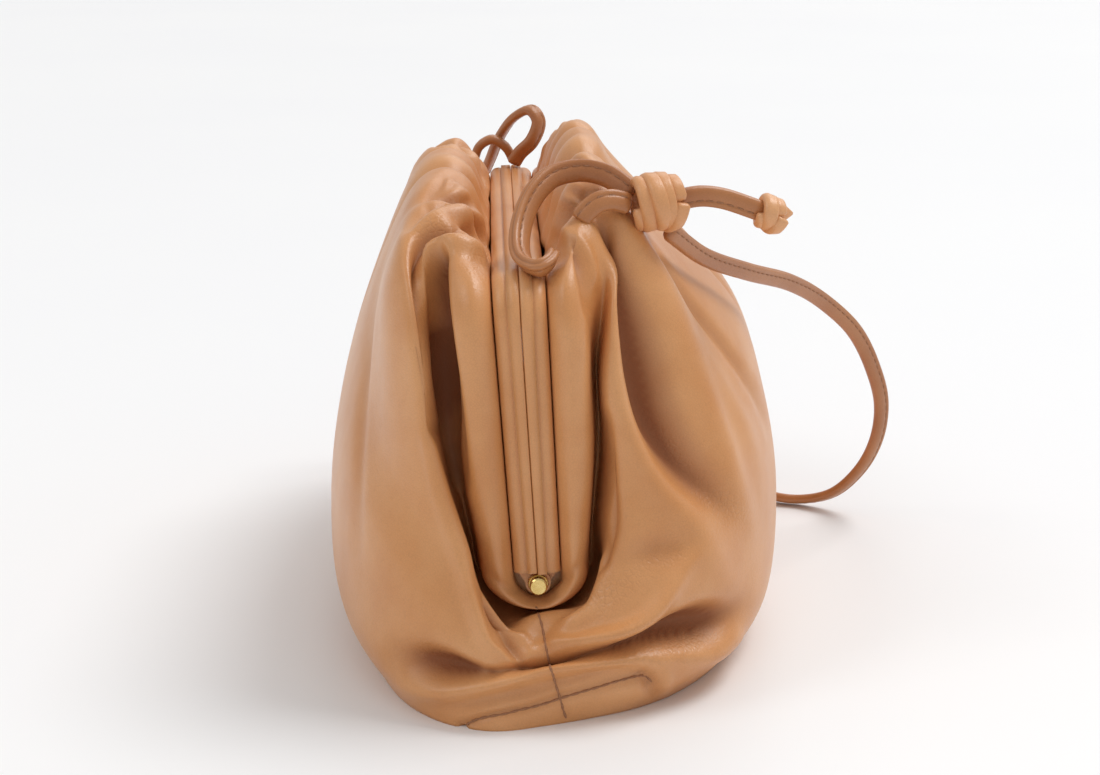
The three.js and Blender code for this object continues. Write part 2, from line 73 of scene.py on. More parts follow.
# The photograph's camera: its lens, tilt, turn and place
PHOTO_WIDTH, PHOTO_HEIGHT = 1100, 775
FOCAL_PIXELS = 2050.0
SENSOR_WIDTH = 36.0
CAMERA_TILT = math.radians(14.914)
CAMERA_TURN = math.radians(1.69)
CAMERA_PLACE = np.array([-17.83, -578.0, 211.0])


def make_camera():
    data = bpy.data.cameras.new("camera")
    data.sensor_width = SENSOR_WIDTH
    data.lens = FOCAL_PIXELS * SENSOR_WIDTH / PHOTO_WIDTH
    data.clip_start = 0.01
    camera = bpy.data.objects.new("camera", data)
    bpy.context.scene.collection.objects.link(camera)
    camera.location = CAMERA_PLACE * MM
    camera.rotation_euler = (math.pi / 2 - CAMERA_TILT, 0, -CAMERA_TURN)
    bpy.context.scene.camera = camera


def photo_axes():
    """The camera's directions to the right, ahead and up."""
    turn, tilt = CAMERA_TURN, CAMERA_TILT
    right = np.array([math.cos(turn), -math.sin(turn), 0])
    level = np.array([math.sin(turn), math.cos(turn), 0])
    ahead = level * math.cos(tilt) - np.array([0, 0, math.sin(tilt)])
    return right, ahead, np.cross(right, ahead)


def to_photo(points):
    """Pixels of the photograph at which points, in millimetres from the hinges' X, are seen."""
    from_camera = points + SHIFT - CAMERA_PLACE
    right, ahead, up = photo_axes()
    depth = from_camera @ ahead
    across = PHOTO_WIDTH / 2 + FOCAL_PIXELS * (from_camera @ right) / depth
    down = PHOTO_HEIGHT / 2 - FOCAL_PIXELS * (from_camera @ up) / depth
    return across, down


def mix(start, end, share):
    return start + (end - start) * share


def smooth(share):
    s = np.clip(share, 0, 1)
    return s * s * (3 - 2 * s)


def unit(vectors):
    return vectors / np.linalg.norm(vectors, axis=-1, keepdims=True)


def turns_of(count):
    """The angles of count points round a ring."""
    return 2 * math.pi * np.arange(count) / count


# Materials
class Nodes:
    """A material's node tree, with short calls for what the materials here need."""

    def __init__(self, name):
        self.material = bpy.data.materials.new(name)
        self.material.use_nodes = True
        self.tree = self.material.node_tree
        self.shader = self.tree.nodes["Principled BSDF"]
        self.place = self.add("ShaderNodeTexCoord").outputs["Object"]

    def add(self, kind, **settings):
        node = self.tree.nodes.new(kind)
        for key, value in settings.items():
            setattr(node, key, value)
        return node

    def link(self, source, target):
        self.tree.links.new(source, target)

    def noise(self, scale, detail=3.0, roughness=0.55):
        node = self.add("ShaderNodeTexNoise")
        node.inputs["Scale"].default_value = scale
        node.inputs["Detail"].default_value = detail
        node.inputs["Roughness"].default_value = roughness
        self.link(self.place, node.inputs["Vector"])
        return node.outputs["Fac"]

    def cells(self, scale):
        node = self.add("ShaderNodeTexVoronoi", feature="DISTANCE_TO_EDGE")
        node.inputs["Scale"].default_value = scale
        self.link(self.place, node.inputs["Vector"])
        return node.outputs["Distance"]

    def ramp(self, source, stops):
        node = self.add("ShaderNodeValToRGB")
        while len(node.color_ramp.elements) < len(stops):
            node.color_ramp.elements.new(0.5)
        for element, (at, colour) in zip(node.color_ramp.elements, stops):
            element.position = at
            element.color = (*colour, 1)
        self.link(source, node.inputs["Fac"])
        return node.outputs["Color"]

    def math(self, operation, first, second):
        node = self.add("ShaderNodeMath", operation=operation)
        for socket, value in zip(node.inputs, (first, second)):
            if isinstance(value, (int, float)):
                socket.default_value = value
            else:
                self.link(value, socket)
        return node.outputs["Value"]

    def blend(self, share, first, second, kind="MIX"):
        node = self.add("ShaderNodeMix", data_type="RGBA", blend_type=kind)
        for socket, value in ((node.inputs[0], share), (node.inputs[6], first),
                              (node.inputs[7], second)):
            if isinstance(value, float):
                socket.default_value = value
            elif isinstance(value, tuple):
                socket.default_value = (*value, 1)
            else:
                self.link(value, socket)
        return node.outputs[2]

    def attribute(self, name):
        node = self.add("ShaderNodeAttribute", attribute_name=name)
        return node.outputs["Fac"]

    def bump(self, height, distance, strength=1.0, below=None):
        node = self.add("ShaderNodeBump")
        node.inputs["Distance"].default_value = distance
        node.inputs["Strength"].default_value = strength
        self.link(height, node.inputs["Height"])
        if below is not None:
            self.link(below, node.inputs["Normal"])
        return node.outputs["Normal"]


LEATHER_PALE = (0.700, 0.340, 0.138)
LEATHER_MAIN = (0.625, 0.268, 0.090)
# Painted shade: the colour that the body's leather darkens to in its folds and hollows
LEATHER_PAINTED_SHADE = (0.240, 0.066, 0.018)
STRAP_PALE = (0.50, 0.205, 0.074)
STRAP_MAIN = (0.42, 0.155, 0.048)
KNOT_PALE = (0.76, 0.385, 0.175)
KNOT_MAIN = (0.69, 0.320, 0.128)

# How many of the leather's features lie in a metre
MOTTLES = 38.0
PORES = 1500.0
GRAINS = 900.0
CREASES = 620.0
SHINY_SPOTS = 120.0


def leather_material(name, pale, main, painted_shade, crinkled_and_shaded=False):
    """Smooth calf leather: fine pores, soft mottling and a satin finish. For the body, painted
    shade darkens the colour in folds and hollows, and crinkles crease it.
    """
    n = Nodes(name)
    mottle = n.noise(MOTTLES, 4.0)
    colour = n.ramp(mottle, [(0.34, main), (0.66, pale)])
    pores = n.cells(PORES)
    worn = n.ramp(pores, [(0.0, (0.72,) * 3), (0.12, (1.0,) * 3)])
    colour = n.blend(0.30, colour, worn, "MULTIPLY")
    grain = n.noise(GRAINS)
    height = n.math("ADD", n.math("MULTIPLY", grain, 0.6), n.math("MINIMUM", pores, 0.18))
    if crinkled_and_shaded:
        # Painted shade: the fold attribute darkens the colour in folds and hollows
        fold_shade_share = n.attribute("fold")
        colour = n.blend(fold_shade_share, colour, painted_shade)
        creases = n.cells(CREASES)
        lines = n.math("MULTIPLY", n.math("MINIMUM", creases, 0.22), n.attribute("crinkle"))
        height = n.math("ADD", height, n.math("MULTIPLY", lines, 7.0))
    n.link(colour, n.shader.inputs["Base Color"])
    shine = n.math("ADD", n.math("MULTIPLY", n.noise(SHINY_SPOTS), 0.12), 0.28)
    if crinkled_and_shaded:
        shine = n.math("ADD", shine, n.math("MULTIPLY", fold_shade_share, 0.5))
    n.link(shine, n.shader.inputs["Roughness"])
    n.link(n.bump(height, 0.00016, 0.6), n.shader.inputs["Normal"])
    n.shader.inputs["Specular IOR Level"].default_value = 0.5
    n.shader.inputs["Coat Weight"].default_value = 0.10
    n.shader.inputs["Coat Roughness"].default_value = 0.34
    return n.material


def thread_material():
    n = Nodes("thread")
    colour = n.ramp(n.noise(2500.0), [(0.3, (0.30, 0.13, 0.06)), (0.7, (0.42, 0.20, 0.10))])
    n.link(colour, n.shader.inputs["Base Color"])
    n.link(n.bump(n.noise(5200.0), 0.0001), n.shader.inputs["Normal"])
    n.shader.inputs["Roughness"].default_value = 0.75
    return n.material


def brass_material():
    n = Nodes("brass")
    colour = n.ramp(n.noise(700.0, 5.0), [(0.3, (0.66, 0.45, 0.15)), (0.7, (0.80, 0.60, 0.25))])
    n.link(colour, n.shader.inputs["Base Color"])
    n.shader.inputs["Metallic"].default_value = 1.0
    scratched = n.math("ADD", n.math("MULTIPLY", n.noise(1800.0, 6.0), 0.22), 0.16)
    n.link(scratched, n.shader.inputs["Roughness"])
    n.link(n.bump(n.noise(1500.0), 0.00004), n.shader.inputs["Normal"])
    return n.material


body_leather = leather_material("body_leather", LEATHER_PALE, LEATHER_MAIN, LEATHER_PAINTED_SHADE, True)
frame_leather = leather_material("frame_leather", LEATHER_PALE, LEATHER_MAIN, LEATHER_PAINTED_SHADE)
strap_leather = leather_material("strap_leather", STRAP_PALE, STRAP_MAIN, LEATHER_PAINTED_SHADE)
knot_leather = leather_material("knot_leather", KNOT_PALE, KNOT_MAIN, LEATHER_PAINTED_SHADE)
thread = thread_material()
brass = brass_material()


def new_piece(name, points, faces, materials, replaced=(), looks=None):
    """A smooth mesh in metres from points in millimetres. looks gives each face's material."""
    mesh = bpy.data.meshes.new(name)
    placed = (np.asarray(points, dtype=float) + SHIFT) * MM
    mesh.from_pydata(placed.tolist(), [], faces)
    mesh.validate()
    mesh.polygons.foreach_set("use_smooth", [True] * len(mesh.polygons))
    for material in materials:
        mesh.materials.append(material)
    if looks is not None:
        mesh.polygons.foreach_set("material_index", looks)
    piece = bpy.data.objects.new(name, mesh)
    bpy.context.scene.collection.objects.link(piece)
    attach(piece, "root")
    if replaced:
        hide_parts(*replaced)
    return piece


def spline(points, closeness):
    """A centripetal Catmull-Rom curve through rows of numbers, about closeness apart."""
    p = np.asarray(points, dtype=float)
    p = np.vstack([2 * p[0] - p[1], p, 2 * p[-1] - p[-2]])
    made = []
    for i in range(1, len(p) - 2):
        count = max(2, int(math.ceil(np.linalg.norm(p[i + 1] - p[i]) / closeness)))
        t = np.linspace(0, 1, count, endpoint=False)
        made.append(hermite(p[i - 1], p[i], p[i + 1], p[i + 2], t))
    made.append(p[-2][None])
    return np.vstack(made)


def hermite(a, b, c, d, t):
    """Points between b and c of the centripetal curve through a, b, c and d. a to d may be
    single points or arrays of them, and then t's shares come first in the result."""
    def gap(u, v):
        return np.maximum(1e-4, np.sum((v - u) ** 2, axis=-1, keepdims=True)) ** 0.25
    g0, g1, g2 = gap(a, b), gap(b, c), gap(c, d)
    leave = ((b - a) / g0 - (c - a) / (g0 + g1) + (c - b) / g1) * g1
    arrive = ((c - b) / g1 - (d - b) / (g1 + g2) + (d - c) / g2) * g1
    t = t.reshape((-1,) + (1,) * np.ndim(b))
    return ((2 * t**3 - 3 * t**2 + 1) * b + (t**3 - 2 * t**2 + t) * leave
            + (3 * t**2 - 2 * t**3) * c + (t**3 - t**2) * arrive)


def lengths_along(path):
    steps = np.linalg.norm(np.diff(path, axis=0), axis=1)
    return np.concatenate([[0], np.cumsum(steps)])


def carried_frames(path, first_across):
    """A pair of directions across the path at each point, turned as little as possible."""
    across = np.asarray(first_across, dtype=float)
    sides, ups = [], []
    for direction in unit(np.gradient(path, axis=0)):
        across = unit(across - direction * np.dot(across, direction))
        sides.append(across)
        ups.append(np.cross(direction, across))
    return np.array(sides), np.array(ups)


# The strap: a flat strip folded lengthways and stitched near its raw edge. A row of half its
# section gives the place across its width and through its thickness. The other half mirrors it.
HALF_SECTION = [
    (-2.45, 0.0), (-2.32, 0.72), (-1.9, 1.18), (-1.2, 1.42), (-0.4, 1.48), (0.3, 1.42),
    (0.75, 1.28), (1.0, 1.08), (1.25, 1.24), (1.7, 1.22), (2.2, 1.08), (2.42, 0.78),
    (2.38, 0.22), (2.14, 0.0),
]
STRAP_SECTION = HALF_SECTION + [(x, -z) for x, z in HALF_SECTION[-2:0:-1]]
TUBE_END_SCALE = 0.75

# A row of STITCH_RINGS gives a ring's place along the stitch and its size, as shares.
STITCH_PLACE = (1.0, 1.12)
STITCH_PITCH = 2.9
STITCH_LENGTH = 1.9
STITCH_RADIUS = 0.27
STITCH_SIDES = 5
STITCH_RINGS = ((-0.5, 0.45), (-0.32, 0.9), (0.0, 1.0), (0.32, 0.9), (0.5, 0.45))


def ring_face(first, count, way=1):
    """A face over a ring of points, turned over where way is -1."""
    return tuple(range(first, first + count))[::way]


def grid_faces(rows, columns, start, way=1):
    """Faces between rings of points, turned over where way is -1."""
    faces = []
    for row in range(rows - 1):
        for column in range(columns):
            a = start + row * columns + column
            b = start + row * columns + (column + 1) % columns
            faces.append((a, a + columns, b + columns, b)[::way])
    return faces


def tube_mesh(path, sides, ups, section):
    """Points and faces of a section carried along a path, narrowed and closed at both ends."""
    section = np.asarray(section, dtype=float)
    count = len(section)
    scales = np.ones(len(path))
    scales[[0, -1]] = TUBE_END_SCALE
    rings = path[:, None] + scales[:, None, None] * (
        section[None, :, :1] * sides[:, None] + section[None, :, 1:] * ups[:, None])
    faces = []
    for ring in range(len(path) - 1):
        for k in range(count):
            a, b = ring * count + k, ring * count + (k + 1) % count
            faces.append((a, b, b + count, a + count))
    faces.append(ring_face(0, count, -1))
    faces.append(ring_face((len(path) - 1) * count, count))
    return rings.reshape(-1, 3).tolist(), faces


def add_stitches(points, faces, looks, path, sides, ups, place):
    """Short rounded stitches on both faces of a strip, in the second material."""
    at = lengths_along(path)
    for start in np.arange(STITCH_PITCH / 2, at[-1] - STITCH_LENGTH, STITCH_PITCH):
        middle = start + STITCH_LENGTH / 2
        nearest = min(len(path) - 1, int(np.searchsorted(at, middle)))
        for face in (1, -1):
            side, up = sides[nearest], ups[nearest] * face
            ring_starts = []
            for along, size in STITCH_RINGS:
                here = np.array([np.interp(middle + along * STITCH_LENGTH, at, path[:, k])
                                 for k in range(3)])
                centre = here + side * place[0] + up * place[1]
                ring_starts.append(len(points))
                for turn in turns_of(STITCH_SIDES):
                    offset = side * math.cos(turn) + up * math.sin(turn)
                    points.append((centre + offset * STITCH_RADIUS * size).tolist())
            for first, second in zip(ring_starts, ring_starts[1:]):
                for corner in range(STITCH_SIDES):
                    following = (corner + 1) % STITCH_SIDES
                    quad = (first + corner, first + following, second + following, second + corner)
                    faces.append(quad[::face])
                    looks.append(1)
            faces.append(ring_face(ring_starts[0], STITCH_SIDES, -face))
            faces.append(ring_face(ring_starts[-1], STITCH_SIDES, face))
            looks += [1, 1]


def strap_piece(name, node, route, across, closeness, scale):
    path = spline(route, closeness)
    sides, ups = carried_frames(path, across)
    points, faces = tube_mesh(path, sides, ups, np.array(STRAP_SECTION) * scale)
    looks = [0] * len(faces)
    add_stitches(points, faces, looks, path, sides, ups, np.array(STITCH_PLACE) * scale)
    return new_piece(name, points, faces, [strap_leather, thread], (node,), looks), path


# Routes of the strap
RUN = [
    (34.1, -64.1, 115.1), (45.1, -48, 105.1), (59.1, -28, 96.9), (74.7, -5, 88.7),
    (87, 12, 79.5), (98.8, 24, 67.5), (106.4, 33, 54), (111, 40, 40.4), (111, 46, 26.5),
    (107, 51, 15), (99.5, 55, 6.2), (90.2, 60, 2.4), (81.3, 64, 2.3), (76, 78, 2.3),
    (79, 106, 2.3), (83, 142, 2.3), (79, 184, 2.3), (56, 220, 2.3), (16, 238, 2.3),
    (-28, 236, 2.3), (-58, 214, 2.3), (-58, 184, 2.3), (-32, 168, 2.3), (2, 180, 2.3),
    (34, 194, 2.3), (54, 176, 2.3), (46, 148, 2.3), (18, 138, 2.3), (-12, 150, 2.3),
    (-38, 150, 2.3), (-44, 134, 2.3), (-30, 123, 4.5), (-22, 121, 20), (-19, 119, 44),
    (-17, 115, 68), (-15, 110, 86.6),
]
LOOP_NEAR = [
    (24.6, -64.4, 124.8), (21.6, -62.2, 127), (18.2, -60, 128.8), (12.2, -58.6, 129.9),
    (5.2, -60.6, 128.9), (0.9, -64.6, 126.2), (-2.2, -69.2, 121.8), (-3.9, -74.6, 116.6),
    (-3.9, -81, 112.6), (-2.2, -86.4, 111), (0.6, -88.4, 110.6), (2.6, -86.4, 111.4),
    (3.6, -83, 112.4),
]
RETURN_NEAR = [
    (23.6, -69, 122.6), (21.6, -69.8, 123.6), (18.6, -71, 124.3), (15.5, -72, 123.8),
    (12.5, -72.8, 121.6), (11, -73.2, 119.6),
]
TAIL_NEAR = [
    (36.5, -65, 123.4), (42, -63.5, 124), (47.6, -62.3, 123.2), (55.6, -61, 120.4),
    (59, -60.2, 119),
]
LOOP_FAR = [
    (-13.5, 104, 103), (-11, 98.5, 109.5), (-8, 92, 117.5), (-3, 86, 125), (2, 82.5, 127.5),
    (4.4, 80.5, 124), (2.2, 79, 118), (-1.8, 79, 114), (-3.9, 79.2, 110.6),
]
HOOK_FAR = [
    (-3.6, 86.8, 110.4), (-6.2, 86, 115.2), (-10.5, 86, 117.6),
    (-14.6, 86.3, 115.4), (-16.5, 86.6, 110.6),
]
TAIL_FAR = [(-23.6, 109.4, 93.5), (-27, 112, 90), (-30, 114.5, 84), (-31.5, 116, 76.2)]


# A row: the piece, its node, its route, the direction across it at its start, how close its rings
# are, and the scale of its section
STRAP_PIECES = [
    ("strap_long_run", "strap_run", RUN, (0.2, -0.3, 0.9), 1.6, 1.0),
    ("strap_near_loop", "strap_loop_near", LOOP_NEAR, (0, 0.3, 1), 1.0, 1.2),
    ("strap_far_loop", "strap_loop_far", LOOP_FAR, (0.4, 0.9, 0), 1.0, 1.0),
    ("strap_near_return", "strap_return_near", RETURN_NEAR, (0, 0.4, 1), 0.8, 1.1),
    ("strap_near_tail", "strap_tail_near", TAIL_NEAR, (0.1, 0, -1), 0.8, 1.1),
    ("strap_far_hook", "strap_hook_far", HOOK_FAR, (0, 1, 0.1), 0.8, 1.0),
    ("strap_far_tail", "strap_tail_far", TAIL_FAR, (0, 1, 0.3), 0.8, 1.0),
]

# A row: the knot, its centre and axis, its diameter and length, how many turns the strand makes
# round it, and the strand's width
KNOTS = [
    ("knot_near", (30.4, -66.2, 123), (1, 0.12, 0.16), 15.5, 14.5, 4, 4.1),
    ("end_knot_near", (60, -60, 119), (1, 0.1, -0.2), 9.8, 8, 2, 3.8),
    ("knot_far", (-15, 108.5, 95), (-1, 0.1, -0.3), 15.5, 14.5, 4, 3.7),
    ("end_knot_far", (-32.5, 117, 71.5), (-0.1, 0.1, -1), 9.5, 7.5, 2, 3.5),
]

# A knot's turns lie on a barrel that narrows to its ends, a little unevenly, and sway along it.
# One more strand lies over them. Shares are of the strand's width, the barrel or a turn's pitch.
HALF_THICKNESS_SHARE = 0.36
TURN_WIDTH_SHARE = 1.04
TURN_STEPS = 28
BARREL_NARROWING = 0.30
BARREL_POWER = 2.6
UNEVENNESS = ((0.035, 17.3), (0.03, 41.0))
SWAY_SHARE = 0.18
SWAY_START = 0.7
OVER_STEPS = 40
OVER_ANGLES = (0.1, 3.5)
OVER_PLACES = (0.42, -0.12)
OVER_SINK_SHARE = 0.55
OVER_WIDTH_SHARE = 0.95
STRAND_SIDES = 18
STRAND_POWER = 0.8
FOLD_LINE_CORNERS = [3, 4]
FOLD_LINE_SCALE = 0.86


def strand_mesh(centre, axis, along, sway, radius, angle, width, thickness):
    """A flattened strand round an axis, with a fold line along it, its flat side to the axis."""
    first = unit(np.cross(axis, (0, 0, 1)))
    second = np.cross(axis, first)
    outward = axis * sway[:, None] + radius[:, None] * (
        first * np.cos(angle)[:, None] + second * np.sin(angle)[:, None])
    path = centre + axis * along[:, None] + outward
    outward = unit(outward)
    sides = unit(np.cross(outward, unit(np.gradient(path, axis=0))))
    turns = turns_of(STRAND_SIDES)
    section = np.stack([np.cos(turns), np.sin(turns)], axis=1)
    section = np.sign(section) * np.abs(section) ** STRAND_POWER * (width / 2, thickness / 2)
    section[FOLD_LINE_CORNERS, 1] *= FOLD_LINE_SCALE
    return tube_mesh(path, sides, outward, section)


# The strap's cut end, past one of its knots: its ends, its sizes along it as shares, and its width
TIP_KNOT = "end_knot_near"
TIP_ENDS = ((61, -60, 118.9), (66.4, -59.3, 118.6))
TIP_SHARES = (1.0, 1.05, 0.85, 0.5, 0.12)
TIP_SIDES = 14
TIP_WIDTH = 6.0


def tip_mesh():
    """The strap's cut end, which comes out of an end knot and narrows to a point."""
    path = np.linspace(*TIP_ENDS, len(TIP_SHARES))
    ahead = unit(path[1] - path[0])
    side = unit(np.cross(ahead, (0, 1, 0)))
    turns = turns_of(TIP_SIDES)[:, None]
    ring = (side * np.cos(turns) / 2 + np.cross(side, ahead) * np.sin(turns) / 4) * TIP_WIDTH
    points = path[:, None] + ring * np.array(TIP_SHARES)[:, None, None]
    faces = grid_faces(len(path), TIP_SIDES, 0)
    faces.append(ring_face(0, TIP_SIDES))
    faces.append(ring_face((len(path) - 1) * TIP_SIDES, TIP_SIDES, -1))
    return points.reshape(-1, 3).tolist(), faces


def knot_piece(name, centre, axis, size, length, wraps, strand):
    """A wrapped knot: a helix of strap round a barrel, with one strand laid over it."""
    axis = unit(np.asarray(axis, dtype=float))
    half_thick = strand * HALF_THICKNESS_SHARE
    turns = np.linspace(0, 1, wraps * TURN_STEPS)
    along = mix(-(length - strand) / 2, (length - strand) / 2, turns)
    angle = 2 * math.pi * wraps * turns
    sway = SWAY_SHARE * (length - strand) / wraps * np.sin(angle / 2 + SWAY_START)
    bulge = 1 - BARREL_NARROWING * np.abs(2 * turns - 1) ** BARREL_POWER
    bulge *= 1 + sum(share * np.sin(turns * pace) for share, pace in UNEVENNESS)
    meshes = [strand_mesh(centre, axis, along, sway, (size / 2 - half_thick) * bulge, angle,
                          strand * TURN_WIDTH_SHARE, half_thick * 2)]
    angle = np.linspace(*OVER_ANGLES, OVER_STEPS)
    along = np.linspace(*OVER_PLACES, OVER_STEPS) * length
    bulge = 1 - (angle / OVER_ANGLES[1] - 0.5) ** 2
    meshes.append(strand_mesh(centre, axis, along, 0 * angle,
                              (size / 2 - half_thick * OVER_SINK_SHARE) * bulge, angle,
                              strand * OVER_WIDTH_SHARE, half_thick * 2))
    if name == TIP_KNOT:
        meshes.append(tip_mesh())
    points, faces = [], []
    for more, more_faces in meshes:
        faces += [tuple(len(points) + k for k in face) for face in more_faces]
        points += more
    return new_piece(name, points, faces, [knot_leather], ("strap_" + name,))


def make_strap():
    pieces, paths = {}, {}
    for row in STRAP_PIECES:
        pieces[row[0]], paths[row[0]] = strap_piece(*row)
    for row in KNOTS:
        pieces[row[0]] = knot_piece(*row)


make_camera()
make_strap()


# The body. Its columns go once round the mouth, and a column's share of its side runs from 0
# under the near hinge to 1 under the far hinge. The side is -1 on the left and 1 on the right.
TURN_SHARE = 0.032
BEND_BEFORE = 16.0
BEND_AFTER = 22.0
MOUTH_OFFSET = TUBE_DIAMETER - SEAM_SINK
MOUTH_DROP = LEG_BOTTOM_HEIGHT - HINGE_HEIGHT + LEAF_RADIUS + 3 * CLEARANCE
MOUTH_COLUMNS = ("strip", "pocket", "drop", "lift", "bar_reach", "bar_rise")
MOUTH_RINGS = [
    (0.00, 0.00, 0.00, -0.07, 0.00, 0.00),
    (0.05, 0.00, 0.04, 0.12, 0.05, 0.30),
    (0.42, 0.00, 0.16, 0.34, 0.20, 0.76),
    (0.86, 0.00, 0.28, 0.16, 0.38, 0.95),
    (1.00, 0.10, 0.38, -0.55, 0.56, 1.00),
    (1.00, 0.45, 0.50, -0.95, 0.78, 0.92),
    (1.00, 1.00, 0.74, 0.20, 1.00, 0.66),
]
NARROW_SHARE = 0.7
WIDENING_HEIGHT = 40.0
SHOULDER_SINK = 0.6
SHOULDER_SINK_POWER = 2.5
PLAN_COLUMNS = ("reach_x", "reach_y", "end_height", "side_height", "slant")
PLAN_RINGS = [
    (0.82, 0.945, 0.43, 2.08, 0.0),
    (0.94, 0.980, 0.38, 1.50, 0.0),
    (1.00, 1.000, 0.28, 0.90, 0.2),
    (0.97, 0.995, 0.12, 0.34, 0.7),
]
SQUARENESS = {-1: (3.0, 2.8, 2.6, 2.7, 2.9), 1: (2.8, 2.5, 2.3, 2.5, 2.15)}
BASE_SLANT = 0.03
SLANT_SHARE = 0.3
HEIGHT_POWER = 1.5
FAN_SHARE = 0.075
RINGS = len(MOUTH_RINGS) + len(PLAN_RINGS)


def frame_line(share, radius):
    """A line up the near leg, along the bar and down the far leg, with round corners."""
    end = np.where(share <= 0.5, -1.0, 1.0)
    leg = LEG_HEIGHT - radius
    corner = radius * math.pi / 2
    length = 2 * leg + 2 * corner + FRAME_LENGTH - 2 * radius
    foot = np.minimum(share, 1 - share) * length
    turn = np.clip((foot - leg) / radius, 0, math.pi / 2)
    along = np.maximum(0, foot - leg - corner)
    y = end * (HALF_FRAME - radius * (1 - np.cos(turn)) - along)
    z = LEG_BOTTOM_HEIGHT + np.minimum(foot, leg) + radius * np.sin(turn)
    return y, z, end


def height_share(z):
    return np.maximum(0, (z - HINGE_HEIGHT) / (BAR_HEIGHT - HINGE_HEIGHT))


def half_gap(z):
    return mix(GAP_AT_HINGE, GAP_AT_BAR, height_share(z)) / 2


def mouth_ring(row, share, side):
    r = dict(zip(MOUTH_COLUMNS, row))
    on_line = np.clip((share - TURN_SHARE) / (1 - 2 * TURN_SHARE), 0, 1)
    turn = np.maximum(0, np.maximum(TURN_SHARE - share, share - 1 + TURN_SHARE)) / TURN_SHARE
    sideways, down = np.cos(turn * math.pi / 2), np.sin(turn * math.pi / 2)
    radius = mix(FRAME_CORNER_RADIUS, SHOULDER_CORNER_RADIUS, r["bar_reach"])
    y, z, end = frame_line(on_line, radius)
    leg = LEG_HEIGHT - FRAME_CORNER_RADIUS
    corner = FRAME_CORNER_RADIUS * math.pi / 2
    half = leg + corner + HALF_FRAME - FRAME_CORNER_RADIUS
    foot = np.minimum(on_line, 1 - on_line) * 2 * half
    bend = smooth((foot - leg + BEND_BEFORE) / (BEND_BEFORE + corner + BEND_AFTER))
    arch = 1 - SHOULDER_SINK * (np.abs(y) / HALF_FRAME) ** SHOULDER_SINK_POWER
    rise = (SHOULDER_HEIGHT[side] - BAR_HEIGHT) * arch
    widen = mix(NARROW_SHARE, 1, smooth((z - HINGE_HEIGHT) / WIDENING_HEIGHT))
    strip = STRIP_WIDTH[side]
    leg_out = (r["strip"] * strip + r["pocket"] * (POCKET_REACH[side] - strip)) * widen
    out = MOUTH_OFFSET + mix(leg_out, r["bar_reach"] * SHOULDER_REACH[side], bend)
    lift = mix(r["lift"] * POCKET_DEPTH, r["bar_rise"] * rise, bend)
    drop = MOUTH_DROP + r["drop"] * COLLAR_WIDTH
    x = -FRAME_LEAN * height_share(z) + side * (half_gap(z) + out) * sideways
    return np.stack([x, y + end * np.cos(bend * math.pi / 2) * lift,
                     z + np.sin(bend * math.pi / 2) * lift - drop * down], axis=-1)


def plan_ring(share, side, reach_x, reach_y, end_z, side_z, power, slant=0.0):
    angle = math.pi * (share + FAN_SHARE * np.sin(2 * math.pi * share))
    across, along = np.sin(angle), np.cos(angle)
    size = (np.abs(across) ** power + np.abs(along) ** power) ** (-1 / power)
    z = mix(end_z, side_z, np.maximum(0, across) ** HEIGHT_POWER)
    from_middle = side * np.sin(np.minimum(1, across / SLANT_SHARE) * math.pi / 2)
    y = -reach_y * along * size * (1 - slant * BASE_SLANT * from_middle)
    return np.stack([side * reach_x * across * size, y, z], axis=-1)


def rings_of(share, side):
    rings = [mouth_ring(row, share, side) for row in MOUTH_RINGS]
    for row, power in zip(PLAN_RINGS, SQUARENESS[side]):
        r = dict(zip(PLAN_COLUMNS, row))
        rings.append(plan_ring(share, side, BELLY[side] * r["reach_x"],
                               BODY_LENGTH / 2 * r["reach_y"], BELLY_HEIGHT * r["end_height"],
                               BELLY_HEIGHT * r["side_height"], power, r["slant"]))
    rings.append(plan_ring(share, side, BASE[side], BASE_LENGTH / 2, 0, 0,
                           SQUARENESS[side][-1], 1.0))
    return rings


# Rows of the fine mesh between each two rings, and columns between each two shares
ROWS_BETWEEN = (6, 8, 8, 8, 8, 10, 34, 14, 12, 10, 12)
COLUMN_SPANS = ((0.0, 0.3, 118), (0.3, 0.7, 104), (0.7, 1.0, 118))


def side_columns():
    spans = [np.linspace(a, b, count, endpoint=False) for a, b, count in COLUMN_SPANS]
    return np.concatenate([*spans, [1.0]])


def lofted():
    """The plain surface as rows by columns of points, with each column's share and side."""
    shares = side_columns()
    parts = []
    for side in (-1, 1):
        rings = rings_of(shares, side)
        rings = [2 * rings[0] - rings[1], *rings, 2 * rings[-1] - rings[-2]]
        rows = []
        for i, count in enumerate(ROWS_BETWEEN):
            t = np.linspace(0, 1, count, endpoint=False)
            rows.append(hermite(rings[i], rings[i + 1], rings[i + 2], rings[i + 3], t))
        rows.append(rings[-2][None])
        parts.append(np.concatenate(rows))
    downs = np.concatenate([np.arange(count) / count + i for i, count in enumerate(ROWS_BETWEEN)])
    downs = np.concatenate([downs, [RINGS]]) / RINGS
    surface = np.concatenate([parts[0], parts[1][:, -2:0:-1]], axis=1)
    share = np.concatenate([shares, shares[-2:0:-1]])
    side = np.concatenate([-np.ones(len(shares)), np.ones(len(shares) - 2)])
    return surface, share, side, downs


def blurred(surface, passes):
    """The surface with each point drawn towards its neighbours. The first and last rows stay."""
    soft = surface.copy()
    for _ in range(passes):
        around = (np.roll(soft, 1, axis=1) + np.roll(soft, -1, axis=1)) / 2
        middle = soft.copy()
        middle[1:-1] = (soft[:-2] + soft[2:]) / 2
        soft[1:-1] = 0.5 * soft[1:-1] + 0.25 * around[1:-1] + 0.25 * middle[1:-1]
    return soft


def normals_of(surface):
    across = np.roll(surface, -1, axis=1) - np.roll(surface, 1, axis=1)
    down = np.gradient(surface, axis=0)
    normal = np.cross(across, down)
    return normal / np.maximum(1e-9, np.linalg.norm(normal, axis=-1, keepdims=True))


